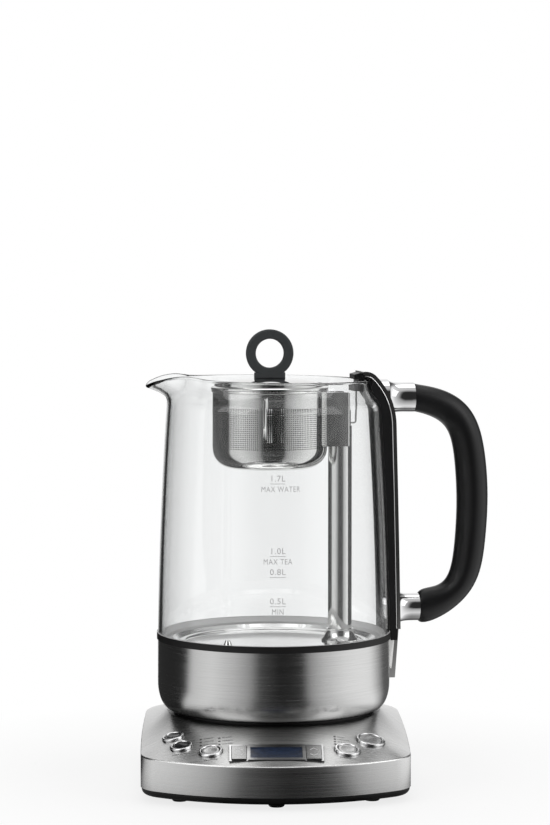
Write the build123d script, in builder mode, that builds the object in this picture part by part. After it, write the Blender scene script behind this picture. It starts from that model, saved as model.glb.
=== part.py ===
from build123d import *
import math
import os

# ---------------------------------------------------------------------------
# Automatic tea maker.  Lengths are millimetres, angles are degrees.
# Z = 0 is the surface the feet stand on and Z runs up the jug's axis.
# -Y is the control panel's side.  The jug is drawn with its handle along +X
# and then stands on the base turned by JUG_TURN.
# ---------------------------------------------------------------------------

RUN = 0.1               # clearance of faces that meet without being fixed
GAP = 0.35              # clearance between pieces that move past each other
JUG_TURN = 9.0          # how far the jug stands turned on its round connector

JUG_R = 75.0            # radius of the jug at the seam of glass and steel

# Base
BASE_HALF_WIDTH = 85.2
BASE_FRONT = 120.0
BASE_BACK = 95.0
FRONT_ARC_R = 130.0
SIDE_ARC_R = 2500.0
BACK_ARC_R = 500.0
FRONT_CORNER_R = 22.0
BACK_CORNER_R = 34.0
SKIRT_BOTTOM = 8.0
FOLD_FRONT = 27.0       # height of the fold between skirt and top at the front
FOLD_BACK = 33.0
FOLD_R = 1.0
CUT_ABOVE = 6.0         # how far the panel's cuts start above the metal, and how deep they go
CUT_BELOW = 24.0
PLATFORM_R = JUG_R - 6.0
PLATFORM_TOP = 43.2
COVER_WALL = 1.2
TRAY_BOTTOM = 3.5
TRAY_EDGE = 3.5
TRAY_WALL = 2.0
TRAY_LIP = 6.0
FOOT_R = 5.0
FOOT_SINK = 0.8
FRONT_FEET = [(0.0, -104.0), (-59.5, -85.0), (59.5, -85.0)]
CENTRE_FOOT = [(0.0, 0.0)]
BACK_FEET = [(-58.0, 68.0), (58.0, 68.0)]

# Seat and round connector
SEAT_TOP = 43.0
SEAT_R = JUG_R - 9.8
SEAT_THICKNESS = 3.0
SEAT_FLANGE = 2.4
SOCKET_R = 17.0
SOCKET_TOP = 51.0
SOCKET_ROUND = 1.0
SOCKET_GROOVE = (10.0, 13.0)
SOCKET_BORE_R = 3.3
SOCKET_DEPTH = 7.5
CONTACT_HEIGHT = 4.0
CONTACT_WALL = 0.4
PILLAR_R = 4.0
PILLAR_RING_R = 54.0
PILLAR_ANGLES = (35.0, 145.0, 215.0, 325.0)
SCREW_R = 1.5
SCREW_HEAD_R = 2.8
SCREW_HEAD = 1.8

# Control panel: each button's place, ring and face
BUTTONS = {
    "power_button": {"x": -63.9, "forward": 66.9, "ring": 14.0, "face": 9.6},
    "keep_warm_button": {"x": -58.6, "forward": 83.6, "ring": 14.0, "face": 9.6},
    "tea_type_button": {"x": -40.4, "forward": 96.0, "ring": 15.0, "face": 10.8},
    "strength_button": {"x": 43.8, "forward": 93.7, "ring": 16.3, "face": 11.4},
    "start_button": {"x": 59.0, "forward": 75.3, "ring": 18.3, "face": 13.8},
}
RING_HEIGHT = 1.6
RING_SINK = 0.4
BARREL_WALL = 1.0
BARREL_DEPTH = 9.0
BUTTON_PROUD = 1.2
BUTTON_DEPTH = 4.5
BUTTON_DISH_R = 24.0
BUTTON_DISH = 0.35
BUTTON_TRAVEL = 1.0
STEM_R = 1.8
BOARD = 1.2
SWITCH_SIZE = 6.0
SWITCH_HEIGHT = 1.3
PLUNGER_R = 1.5
PLUNGER_HEIGHT = 0.3

# Display and the two rocker keys beside it
DISPLAY_FORWARD = 101.8
DISPLAY_HALF = 16.3
DISPLAY_OPENING = (32.0, 13.6)
DISPLAY_SHIFT = -0.6
DISPLAY_BEZEL = (35.2, 19.8)
DISPLAY_PROUD = 0.6
ROCKER_WIDTH = 9.0
ROCKER_DEPTH = 18.2
ROCKER_CENTRE = 22.95
ROCKER_PLATE = 1.6
ROCKER_PIVOT = 5.2
ROCKER_HUB_R = 2.2
ROCKER_PIN_R = 1.2
ROCKER_LEG = 3.0
ROCKER_REACH = 6.5
ROCKER_SWING = 3.0
PIN_FIT = 0.05
FRAME_BORDER = 1.1
FRAME_DEPTH = 3.2
CARRIER_WALL = 1.4
CARRIER_DEPTH = 6.8
DOME_R = 2.2
DOME_HEIGHT = 1.0
CONTROL_BOARD = (63.0, 27.0)

# Indicator lamps: columns of small lenses, as x, the first one's distance forward and the spacing
LAMP_R = 0.75
LAMP_LENGTH = 4.0
LAMP_PROUD = 0.15
LAMP_COLUMNS = [(-46.6, 77.3, 4.3), (-35.1, 79.0, 4.2), (36.6, 77.0, 3.3)]
LAMP_COUNTS = [3, 3, 4]

# Supply board and cord gland
SUPPLY_BOARD = (70.0, 30.0)
SUPPLY_Y = 70.0
SUPPLY_POST = 3.0
SUPPLY_RELAY = (19.0, 15.0, 14.0)
SUPPLY_CAPACITOR_R = 4.0
SUPPLY_CAPACITOR = 12.0
GLAND_Z = 19.0
GLAND_R = 5.0
GLAND_FLANGE_R = 7.5
GLAND_BORE_R = 3.5
GLAND_LENGTH = 9.0

# Jug: glass body
GLASS_WALL = 2.5
GLASS_BOTTOM = 92.4
GLASS_BOTTOM_R = JUG_R
GLASS_MIDDLE = (JUG_R - 2.1, 170.0)
GLASS_SHOULDER = (JUG_R - 5.8, 238.0)
GLASS_NECK = [(JUG_R - 10.1, 246.4), (JUG_R - 12.4, 250.5)]
RIM_R = JUG_R - 13.4
RIM_TOP = 257.0
RIM_LIFT = 0.8          # how far the rim rises beside the spout
RIM_ROUND = 0.9
SPOUT_SECTIONS = [(RIM_R - 11.6, 17.0, 260.0), (RIM_R + 7.4, 12.8, 257.2), (RIM_R + 20.4, 2.6, 252.9)]
SPOUT_TIP_TOP = 252.0

# Jug: seam ring, steel shell, floor and bottom
SEAM_BOTTOM = 90.0
SEAM_TOP = 94.2
SEAM_LIP = 0.6
SHELL_R = JUG_R
SHELL_WALL = 0.8
SHELL_BOTTOM = 45.0
SHELL_ROUND = (8.0, 17.0)
SHELL_HEM_R = SHELL_R - 17.0
FLOOR_SHEET = 1.0
FLOOR_STEP_R = SHELL_R - 12.0
FLOOR_STEP = 3.0
FLOOR_BEAD_R = SHELL_R - 16.5
FLOOR_BEAD = 1.2
BOTTOM_FOOT_R = SEAT_R - 0.4
BOTTOM_BORE_R = 21.5
BOTTOM_SPIGOT = 3.0
PLUG_R = 27.0
PLUG_PIN_R = 2.6
PLUG_RING = (10.7, 12.3)
PLUG_BODY = 4.5
HEATER_PLATE_R = SHELL_R - 19.0
HEATER_PLATE = 3.0
HEATER_R = 28.0
HEATER_TUBE_R = 3.2
HEATER_OPENING = 60.0   # half of the gap between the element's ends
TERMINAL_R = 1.6
TERMINAL_LENGTH = 14.0
SENSOR_X = -35.6
SENSOR_Y = -35.9
SENSOR_R = 4.2
SENSOR_TIP_R = 1.3
SENSOR_HEIGHT = 7.0
SENSOR_STEM = 9.0

# Lift post and drive
POST_X = FLOOR_BEAD_R - 14.8
POST_R = 7.8
POST_WALL = 1.0
POST_BOTTOM = 76.0
POST_TOP = 227.0
CAP_R = 7.1
CAP_HEIGHT = 11.5
CAP_SPIGOT = 4.0
CAP_ROUND = 1.2
FOOT_FLARE_R = 12.0
FOOT_FLARE = 8.0
FOOT_FLARE_TIP = 1.0
NUT_R = 11.0
NUT_HEIGHT = 5.0
LEAD_SCREW_R = 2.5
BUSH_HEIGHT = 4.0
CARRIAGE_R = 6.45
CARRIAGE_HEIGHT = 25.0
TOP_BUSH = 3.0
MAGNET_CORE_R = 4.0
MAGNET_HEIGHT = 6.0
MAGNET_COVER = 1.0
MOTOR_R = 12.0
MOTOR_HEIGHT = 22.0
BRACKET_PLATE = 2.0
BRACKET_R = 14.0
STAY_R = 0.6
STAY_BEND = 1.6

# Handle
STRAP_END = (JUG_R + 3.9, 62.6, 0.0)       # radius, height and outward angle of the strap's outer line
STRAP_SEAM = (JUG_R + 6.3, 95.0, 0.0)
STRAP_MIDDLE = (JUG_R + 4.9, 165.0, 0.0)
STRAP_TURN = (JUG_R + 3.3, 228.0, 3.0)
STRAP_BROW = (RIM_R + 3.4, 259.2, 48.0)
STRAP_LIP = (RIM_R - 5.1, 262.0, 84.0)
STRAP_WIDTH = 26.0
STRAP_SHEET = 2.2
TAIL_WIDTH = 14.0
TAIL_FOOT = 6.0
BACKING_WIDTH = 28.0
BACKING_BOTTOM = 88.0
CLIP_WIDTH = 16.0
CLIP_INNER = RIM_R - 10.1
CLIP_ARM = 3.2
CLIP_CROWN = 1.0
CLIP_WEB_INNER = RIM_R - 7.4
CLIP_WEB_OUTER = RIM_R - 3.5
CLIP_PRONG = (249.0, 253.0)
CLIP_OUTER = RIM_R + 0.3
UPPER_HEIGHT = 244.8
UPPER_R = 9.7
UPPER_END = JUG_R + 17.0
LOWER_HEIGHT = 107.8
LOWER_R = 8.9
LOWER_END = JUG_R + 20.5
FERRULE_FLARE = 2.2
FERRULE_STEP = 0.4
FERRULE_COLLAR = 2.0
GRIP_SHOULDER = (JUG_R + 54.0, 213.0)
GRIP_ELBOW = (JUG_R + 53.2, 136.0)
GRIP_SECTIONS = 8
GRIP_WIDER = 3.2
GRIP_THICKER = 1.2
BOLT_R = 2.0
BOLT_LENGTH = 12.0
BOLT_HEAD_R = 3.6
BOLT_HEAD = 2.0

# Tea basket
BASKET_R = 37.0
BASKET_X = POST_X - 46.3
BASKET_WALL = 0.8
BASKET_BOTTOM = 200.0
BASKET_RIM = 250.4
BASKET_ROUND = 13.0
BASKET_BEAD = 1.0
SADDLE_BOTTOM = 214.0
SADDLE_TOP = 249.0
SADDLE_REACH = 14.0
SADDLE_WIDTH = 21.0
SADDLE_ROUND = 3.0
SADDLE_FIT = 0.4
SADDLE_MAGNET = (2.2, 2.6, 6.0)
LID_R = 38.0
LID_SHEET = 0.8
LID_EDGE = 1.6
LID_RISE = 5.5
LID_EDGE_RISE = 0.6     # slope of the dome where it leaves the edge
LID_CROWN_R = 9.0
LID_SPIGOT = 4.0
RING_OUTER_R = 15.4
RING_INNER_R = 9.25
RING_THICKNESS = 4.6
RING_FOOT = (20.0, 4.0)
RING_ROUND = 1.2
RING_STEM_R = 3.0
RING_WASHER_R = 6.0
RING_WASHER = 1.4

os.makedirs("parts", exist_ok=True)


def save(piece, label, turn=0.0):
    """Turn a finished piece about the jug's axis, label it and write it."""
    piece = piece.rotate(Axis.Z, turn)
    piece.label = label
    export_step(piece, f"parts/{label}.step")


# ---------------------------------------------------------------------------
# Base: shapes that several pieces share
# ---------------------------------------------------------------------------

def base_outline(inset=0.0):
    """Plan outline of the base, moved in by inset."""
    with BuildSketch() as outline:
        with Locations((0, FRONT_ARC_R - BASE_FRONT)):
            Circle(FRONT_ARC_R - inset)
        with Locations((0, BASE_BACK - BACK_ARC_R)):
            Circle(BACK_ARC_R - inset, mode=Mode.INTERSECT)
        for side in (-1, 1):
            with Locations((side * (BASE_HALF_WIDTH - SIDE_ARC_R), 0)):
                Circle(SIDE_ARC_R - inset, mode=Mode.INTERSECT)
        fillet(outline.vertices().group_by(Axis.Y)[0], FRONT_CORNER_R - inset)
        fillet(outline.vertices().group_by(Axis.Y)[-1], BACK_CORNER_R - inset)
    return outline.sketch


def fold_plane(inset=0.0):
    """Tilted plane of the fold between the skirt and the top."""
    rise = FOLD_BACK - FOLD_FRONT
    run = BASE_FRONT + BASE_BACK
    return Plane(origin=(0, -BASE_FRONT, FOLD_FRONT - inset), x_dir=(1, 0, 0), z_dir=(0, -rise, run))


def cover_form(inset=0.0):
    """Solid inside the cover's outer face, or inside its sheet when inset is the sheet's thickness."""
    with BuildPart() as form:
        with BuildSketch(Plane.XY.offset(SKIRT_BOTTOM - inset)):
            add(base_outline(inset))
        extrude(amount=PLATFORM_TOP)
        split(bisect_by=fold_plane(inset), keep=Keep.BOTTOM)
        fold_face = form.faces().sort_by(Axis.Z)[-1]
        corner_angles = sorted(math.degrees(math.atan2(v.Y, v.X)) for v in fold_face.vertices())
        with BuildSketch(Plane.XY.offset(PLATFORM_TOP - inset), mode=Mode.PRIVATE) as platform:
            with BuildLine():
                for start, end in zip(corner_angles, corner_angles[1:] + [corner_angles[0] + 360]):
                    CenterArc((0, 0), PLATFORM_R - inset, start, end - start)
            make_face()
        loft(sections=[fold_face, platform.sketch.face()], ruled=True)
    return form.part


COVER_FORM = cover_form()


def panel_plane(x, forward):
    """Plane lying on the cover's top at x and this far forward of the jug's axis, facing out of the metal."""
    drop = Axis((x, -forward, 2 * PLATFORM_TOP), (0, 0, -1))
    hits = [hit for face in COVER_FORM.faces() for hit in face.find_intersection_points(drop)]
    point, normal = max(hits, key=lambda hit: hit[0].Z)
    if normal.Z < 0:
        normal = normal * -1
    return Plane(origin=point, x_dir=(1, 0, 0), z_dir=normal)


BUTTON_PLANES = {name: panel_plane(place["x"], place["forward"]) for name, place in BUTTONS.items()}
DISPLAY_PLANE = panel_plane(0, DISPLAY_FORWARD)
LAMP_PLANES = [
    panel_plane(x, first + spacing * row)
    for (x, first, spacing), count in zip(LAMP_COLUMNS, LAMP_COUNTS)
    for row in range(count)
]

FRAME_HALF_WIDTH = ROCKER_CENTRE + ROCKER_WIDTH / 2 + GAP + FRAME_BORDER
FRAME_HALF_DEPTH = ROCKER_DEPTH / 2 + GAP + FRAME_BORDER
BARREL_BASE = RING_SINK + BARREL_DEPTH
STEM_LENGTH = BARREL_BASE - SWITCH_HEIGHT - PLUNGER_HEIGHT - BUTTON_DEPTH - BUTTON_TRAVEL - RUN


def barrel_radius(place):
    """Outer radius of a button's barrel under its ring."""
    return place["face"] / 2 + GAP + BARREL_WALL


# ---------------------------------------------------------------------------
# Base: cover, tray and feet
# ---------------------------------------------------------------------------

with BuildPart() as base_cover:
    add(COVER_FORM)
    fold_edges = base_cover.edges().filter_by(
        lambda edge: abs(fold_plane().to_local_coords(edge.center()).Z) < RUN
    )
    fillet(fold_edges, FOLD_R)
    add(cover_form(COVER_WALL), mode=Mode.SUBTRACT)
    with BuildSketch(Plane.XY.offset(PLATFORM_TOP)):
        Circle(SEAT_R + RUN)
    extrude(amount=-2 * COVER_WALL, mode=Mode.SUBTRACT)
    for name, place in BUTTONS.items():
        with BuildSketch(BUTTON_PLANES[name].offset(CUT_ABOVE)):
            Circle(barrel_radius(place) + RUN)
        extrude(amount=-CUT_BELOW, mode=Mode.SUBTRACT)
        with BuildSketch(BUTTON_PLANES[name].offset(-RING_SINK)):
            Circle(place["ring"] / 2 + RUN)
        extrude(amount=CUT_ABOVE, mode=Mode.SUBTRACT)
    with BuildSketch(DISPLAY_PLANE.offset(CUT_ABOVE)):
        Rectangle(2 * (FRAME_HALF_WIDTH + RUN), 2 * (FRAME_HALF_DEPTH + RUN))
    extrude(amount=-CUT_BELOW, mode=Mode.SUBTRACT)
    for plane in LAMP_PLANES:
        with BuildSketch(plane.offset(LAMP_LENGTH)):
            Circle(LAMP_R + PIN_FIT)
        extrude(amount=-2 * LAMP_LENGTH, mode=Mode.SUBTRACT)
    with BuildSketch(Plane.XZ.offset(-BASE_BACK - GLAND_LENGTH)):
        with Locations((0, GLAND_Z)):
            Circle(GLAND_R + RUN)
    extrude(amount=2 * GLAND_LENGTH, mode=Mode.SUBTRACT)
save(base_cover.part, "base_cover")

PILLARS = [
    (PILLAR_RING_R * math.cos(math.radians(angle)), PILLAR_RING_R * math.sin(math.radians(angle)))
    for angle in PILLAR_ANGLES
]
TRAY_FLOOR_TOP = TRAY_BOTTOM + TRAY_WALL

with BuildPart() as base_tray:
    with BuildSketch(Plane.XY.offset(TRAY_BOTTOM)):
        add(base_outline(COVER_WALL / 2))
    extrude(amount=SKIRT_BOTTOM - TRAY_BOTTOM)
    fillet(base_tray.edges().group_by(Axis.Z)[0], TRAY_EDGE)
    with BuildSketch(Plane.XY.offset(SKIRT_BOTTOM)):
        add(base_outline(COVER_WALL + RUN))
    extrude(amount=TRAY_LIP)
    with BuildSketch(Plane.XY.offset(TRAY_FLOOR_TOP)):
        add(base_outline(COVER_WALL + RUN + TRAY_WALL))
    extrude(amount=SKIRT_BOTTOM + TRAY_LIP, mode=Mode.SUBTRACT)
    with BuildSketch(Plane.XY.offset(TRAY_FLOOR_TOP)):
        with Locations((0, SUPPLY_Y)):
            with GridLocations(SUPPLY_BOARD[0] - 2 * SUPPLY_POST, SUPPLY_BOARD[1] - 2 * SUPPLY_POST, 2, 2):
                Circle(SUPPLY_POST)
    extrude(amount=SUPPLY_POST)
    with BuildSketch(Plane.XY):
        with Locations(PILLARS):
            Circle(SCREW_R + RUN)
    extrude(amount=SKIRT_BOTTOM, mode=Mode.SUBTRACT)
    with BuildSketch(Plane.XY):
        with Locations(PILLARS):
            Circle(SCREW_HEAD_R + RUN)
    extrude(amount=TRAY_BOTTOM + TRAY_WALL / 2, mode=Mode.SUBTRACT)
    with BuildSketch(Plane.XY):
        with Locations(FRONT_FEET + CENTRE_FOOT + BACK_FEET):
            Circle(FOOT_R)
    extrude(amount=TRAY_BOTTOM + FOOT_SINK, mode=Mode.SUBTRACT)
save(base_tray.part, "base_tray")

with BuildPart() as rubber_feet:
    with BuildSketch(Plane.XY):
        with Locations(FRONT_FEET + CENTRE_FOOT + BACK_FEET):
            Circle(FOOT_R)
    extrude(amount=TRAY_BOTTOM + FOOT_SINK)
    chamfer(rubber_feet.edges().group_by(Axis.Z)[0], FOOT_SINK)
save(rubber_feet.part, "rubber_feet")


# ---------------------------------------------------------------------------
# Base: seat plate with the round socket, its contacts and the screws
# ---------------------------------------------------------------------------

COVER_UNDERSIDE = PLATFORM_TOP - COVER_WALL
SEAT_BOTTOM = SEAT_TOP - SEAT_THICKNESS

with BuildPart() as base_seat:
    with BuildSketch(Plane.XY.offset(SEAT_BOTTOM)):
        Circle(SEAT_R)
    extrude(amount=SEAT_THICKNESS)
    with BuildSketch(Plane.XY.offset(SEAT_BOTTOM)):
        Circle(SEAT_R + SEAT_FLANGE)
    extrude(amount=COVER_UNDERSIDE - SEAT_BOTTOM)
    with BuildSketch(Plane.XY.offset(SEAT_BOTTOM)):
        Circle(SOCKET_R)
    extrude(amount=SOCKET_TOP - SEAT_BOTTOM)
    fillet(base_seat.edges().group_by(Axis.Z)[-1], SOCKET_ROUND)
    with BuildSketch(Plane.XY.offset(SOCKET_TOP)):
        Circle(SOCKET_GROOVE[1])
        Circle(SOCKET_GROOVE[0], mode=Mode.SUBTRACT)
        Circle(SOCKET_BORE_R)
    extrude(amount=-SOCKET_DEPTH, mode=Mode.SUBTRACT)
    with BuildSketch(Plane.XY.offset(TRAY_FLOOR_TOP)):
        with Locations(PILLARS):
            Circle(PILLAR_R)
    extrude(amount=SEAT_BOTTOM - TRAY_FLOOR_TOP)
    with BuildSketch(Plane.XY.offset(TRAY_FLOOR_TOP)):
        with Locations(PILLARS):
            Circle(SCREW_R)
    extrude(amount=SKIRT_BOTTOM, mode=Mode.SUBTRACT)
save(base_seat.part, "base_seat")

with BuildPart() as socket_contacts:
    with BuildSketch(Plane.XY.offset(SOCKET_TOP - SOCKET_DEPTH)):
        Circle(SOCKET_GROOVE[1])
        Circle(SOCKET_GROOVE[1] - CONTACT_WALL, mode=Mode.SUBTRACT)
        Circle(SOCKET_BORE_R)
        Circle(SOCKET_BORE_R - CONTACT_WALL, mode=Mode.SUBTRACT)
    extrude(amount=CONTACT_HEIGHT)
save(socket_contacts.part, "socket_contacts")

with BuildPart() as base_screws:
    with BuildSketch(Plane.XY.offset(TRAY_BOTTOM + TRAY_WALL / 2 - SCREW_HEAD / 2)):
        with Locations(PILLARS):
            Circle(SCREW_HEAD_R)
    extrude(amount=SCREW_HEAD / 2)
    with BuildSketch(Plane.XY.offset(TRAY_BOTTOM + TRAY_WALL / 2)):
        with Locations(PILLARS):
            Circle(SCREW_R)
    extrude(amount=SKIRT_BOTTOM)
save(base_screws.part, "base_screws")


# ---------------------------------------------------------------------------
# Control panel: round buttons in their bright rings
# ---------------------------------------------------------------------------

with BuildPart() as button_bezels:
    for name, place in BUTTONS.items():
        with BuildSketch(BUTTON_PLANES[name].offset(-RING_SINK)) as ring:
            Circle(place["ring"] / 2)
            Circle(place["face"] / 2 + GAP, mode=Mode.SUBTRACT)
        lip = extrude(amount=RING_SINK + RING_HEIGHT)
        rim = lip.faces().sort_by(Axis(BUTTON_PLANES[name].origin, BUTTON_PLANES[name].z_dir))[-1]
        fillet(rim.edges(), RING_HEIGHT / 2 - PIN_FIT)
        with BuildSketch(BUTTON_PLANES[name].offset(-RING_SINK)):
            Circle(barrel_radius(place))
            Circle(place["face"] / 2 + GAP, mode=Mode.SUBTRACT)
        extrude(amount=-BARREL_DEPTH)
save(button_bezels.part, "button_bezels")

with BuildPart() as switch_boards:
    for name, place in BUTTONS.items():
        with BuildSketch(BUTTON_PLANES[name].offset(-BARREL_BASE)):
            Circle(barrel_radius(place))
        extrude(amount=-BOARD)
save(switch_boards.part, "switch_boards")

with BuildPart() as button_switches:
    for name in BUTTONS:
        with BuildSketch(BUTTON_PLANES[name].offset(-BARREL_BASE)):
            Rectangle(SWITCH_SIZE, SWITCH_SIZE)
        extrude(amount=SWITCH_HEIGHT)
        with BuildSketch(BUTTON_PLANES[name].offset(-BARREL_BASE + SWITCH_HEIGHT)):
            Circle(PLUNGER_R)
        extrude(amount=PLUNGER_HEIGHT)
save(button_switches.part, "button_switches")


def round_button(plane, face):
    """Button cap with a slightly hollow face, a stem under it and its axis along the plane's normal."""
    with BuildPart(plane) as button:
        with BuildSketch(plane.offset(-BUTTON_DEPTH)):
            Circle(face / 2)
        extrude(amount=BUTTON_DEPTH + BUTTON_PROUD)
        top_edge = button.faces().sort_by(Axis(plane.origin, plane.z_dir))[-1].edges()
        fillet(top_edge, BUTTON_DISH)
        with Locations((0, 0, BUTTON_PROUD - BUTTON_DISH + BUTTON_DISH_R)):
            Sphere(BUTTON_DISH_R, mode=Mode.SUBTRACT)
        with BuildSketch(plane.offset(-BUTTON_DEPTH)):
            Circle(STEM_R)
        extrude(amount=-STEM_LENGTH)
    return button.part


for name, place in BUTTONS.items():
    save(round_button(BUTTON_PLANES[name], place["face"]), name)


# ---------------------------------------------------------------------------
# Control panel: display, rocker keys and lamps
# ---------------------------------------------------------------------------

ROCKERS = {"temperature_key": -ROCKER_CENTRE, "time_key": ROCKER_CENTRE}
CARRIER_BASE = FRAME_DEPTH + CARRIER_DEPTH
KEY_WALL_HALF = ROCKER_WIDTH / 2 + GAP

with BuildPart() as display_frame:
    with BuildSketch(DISPLAY_PLANE.offset(-FRAME_DEPTH)):
        Rectangle(2 * FRAME_HALF_WIDTH, 2 * FRAME_HALF_DEPTH)
    extrude(amount=FRAME_DEPTH)
    with BuildSketch(DISPLAY_PLANE):
        Rectangle(*DISPLAY_BEZEL)
    extrude(amount=DISPLAY_PROUD)
    with BuildSketch(DISPLAY_PLANE.offset(-FRAME_DEPTH)):
        with Locations((0, DISPLAY_SHIFT)):
            Rectangle(*DISPLAY_OPENING)
        with Locations((-ROCKER_CENTRE, 0), (ROCKER_CENTRE, 0)):
            Rectangle(2 * KEY_WALL_HALF, ROCKER_DEPTH + 2 * GAP)
    extrude(amount=FRAME_DEPTH + DISPLAY_PROUD, mode=Mode.SUBTRACT)
save(display_frame.part, "display_frame")

with BuildPart() as display_window:
    with BuildSketch(DISPLAY_PLANE.offset(-FRAME_DEPTH)):
        with Locations((0, DISPLAY_SHIFT)):
            Rectangle(DISPLAY_OPENING[0] - RUN, DISPLAY_OPENING[1] - RUN)
    extrude(amount=FRAME_DEPTH)
save(display_window.part, "display_window")

with BuildPart() as display_module:
    with BuildSketch(DISPLAY_PLANE.offset(-FRAME_DEPTH)):
        Rectangle(2 * DISPLAY_HALF, DISPLAY_BEZEL[1])
    extrude(amount=-CARRIER_DEPTH)
save(display_module.part, "display_module")

with BuildPart() as key_carrier:
    with BuildSketch(DISPLAY_PLANE.offset(-FRAME_DEPTH)):
        Rectangle(2 * (ROCKER_CENTRE + KEY_WALL_HALF + CARRIER_WALL), 2 * FRAME_HALF_DEPTH)
        Rectangle(2 * DISPLAY_HALF + RUN, DISPLAY_BEZEL[1] + RUN, mode=Mode.SUBTRACT)
        with Locations((-ROCKER_CENTRE, 0), (ROCKER_CENTRE, 0)):
            Rectangle(2 * KEY_WALL_HALF, ROCKER_DEPTH + 2 * GAP, mode=Mode.SUBTRACT)
    extrude(amount=-CARRIER_DEPTH)
    pivot_plane = Plane(
        origin=DISPLAY_PLANE.from_local_coords((0, 0, -ROCKER_PIVOT)), x_dir=(0, 1, 0), z_dir=(1, 0, 0)
    )
    with BuildSketch(pivot_plane):
        Circle(ROCKER_PIN_R + PIN_FIT)
    extrude(amount=ROCKER_CENTRE + KEY_WALL_HALF + 2 * CARRIER_WALL, both=True, mode=Mode.SUBTRACT)
    with BuildSketch(DISPLAY_PLANE.offset(-FRAME_DEPTH)):
        Rectangle(2 * DISPLAY_HALF + RUN, DISPLAY_BEZEL[1] + RUN)
    extrude(amount=-CARRIER_DEPTH, mode=Mode.SUBTRACT)
save(key_carrier.part, "key_carrier")


def rocker_key(centre):
    """Rocker key: a plate with its rear half tilted back, a hub with two pins, and two legs over its domes."""
    side = Plane(
        origin=DISPLAY_PLANE.from_local_coords((centre, 0, 0)),
        x_dir=DISPLAY_PLANE.y_dir,
        z_dir=DISPLAY_PLANE.x_dir,
    )
    half = ROCKER_DEPTH / 2
    swing_drop = (ROCKER_REACH + ROCKER_LEG / 2) * math.sin(math.radians(ROCKER_SWING))
    leg = CARRIER_BASE - DOME_HEIGHT - swing_drop - RUN
    with BuildPart() as key:
        with BuildSketch(side):
            with BuildLine():
                Polyline(
                    (-half, -ROCKER_PLATE / 2), (-half, ROCKER_PLATE / 2), (0, ROCKER_PLATE / 2), (0, 0),
                    (half, 0), (half, -ROCKER_PLATE / 2), close=True,
                )
            make_face()
            with Locations((-ROCKER_REACH, -leg / 2), (ROCKER_REACH, -leg / 2)):
                Rectangle(ROCKER_LEG, leg)
            with Locations((0, -ROCKER_PIVOT / 2)):
                Rectangle(2 * ROCKER_HUB_R, ROCKER_PIVOT)
            with Locations((0, -ROCKER_PIVOT)):
                Circle(ROCKER_HUB_R)
        extrude(amount=ROCKER_WIDTH / 2, both=True)
        with BuildSketch(side):
            with Locations((0, -ROCKER_PIVOT)):
                Circle(ROCKER_PIN_R)
        extrude(amount=ROCKER_WIDTH / 2 + GAP + CARRIER_WALL / 2, both=True)
    return key.part


for name, centre in ROCKERS.items():
    save(rocker_key(centre), name)

with BuildPart() as key_domes:
    with BuildSketch(DISPLAY_PLANE.offset(-CARRIER_BASE)):
        with Locations((-ROCKER_CENTRE, 0), (ROCKER_CENTRE, 0)):
            with Locations((0, -ROCKER_REACH), (0, ROCKER_REACH)):
                Circle(DOME_R)
    extrude(amount=DOME_HEIGHT)
    fillet(key_domes.faces().filter_by(GeomType.PLANE).group_by(Axis.Z)[-1].edges(), DOME_HEIGHT / 2)
save(key_domes.part, "key_domes")

with BuildPart() as control_board:
    with BuildSketch(DISPLAY_PLANE.offset(-CARRIER_BASE)):
        Rectangle(*CONTROL_BOARD)
    extrude(amount=-BOARD)
save(control_board.part, "control_board")

with BuildPart() as indicator_lamps:
    for plane in LAMP_PLANES:
        with BuildSketch(plane.offset(LAMP_PROUD)):
            Circle(LAMP_R)
        extrude(amount=-LAMP_LENGTH)
save(indicator_lamps.part, "indicator_lamps")


# ---------------------------------------------------------------------------
# Base: supply board and cord gland
# ---------------------------------------------------------------------------

SUPPLY_BASE = TRAY_FLOOR_TOP + SUPPLY_POST

with BuildPart() as supply_board:
    with BuildSketch(Plane.XY.offset(SUPPLY_BASE)):
        with Locations((0, SUPPLY_Y)):
            Rectangle(*SUPPLY_BOARD)
    extrude(amount=BOARD)
save(supply_board.part, "supply_board")

with BuildPart() as supply_parts:
    with BuildSketch(Plane.XY.offset(SUPPLY_BASE + BOARD)):
        with Locations((-SUPPLY_RELAY[0], SUPPLY_Y)):
            Rectangle(SUPPLY_RELAY[0], SUPPLY_RELAY[1])
    extrude(amount=SUPPLY_RELAY[2])
    with BuildSketch(Plane.XY.offset(SUPPLY_BASE + BOARD)):
        with Locations((SUPPLY_RELAY[0], SUPPLY_Y), (SUPPLY_RELAY[0] - 3 * SUPPLY_CAPACITOR_R, SUPPLY_Y)):
            Circle(SUPPLY_CAPACITOR_R)
    extrude(amount=SUPPLY_CAPACITOR)
save(supply_parts.part, "supply_parts")

with BuildPart() as cord_gland:
    with BuildSketch(Plane.YZ):
        with BuildLine():
            Polyline(
                (BASE_BACK + GLAND_LENGTH / 4, GLAND_Z + GLAND_BORE_R),
                (BASE_BACK + GLAND_LENGTH / 4, GLAND_Z + GLAND_R),
                (BASE_BACK, GLAND_Z + GLAND_FLANGE_R),
                (BASE_BACK, GLAND_Z + GLAND_R),
                (BASE_BACK - TRAY_WALL, GLAND_Z + GLAND_R),
                (BASE_BACK - GLAND_LENGTH, GLAND_Z + GLAND_R),
                (BASE_BACK - GLAND_LENGTH, GLAND_Z + GLAND_BORE_R),
                close=True,
            )
        make_face()
    revolve(axis=Axis((0, 0, GLAND_Z), (0, 1, 0)))
save(cord_gland.part, "cord_gland")


# ---------------------------------------------------------------------------
# Jug: glass body with its pouring beak
# ---------------------------------------------------------------------------

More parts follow.
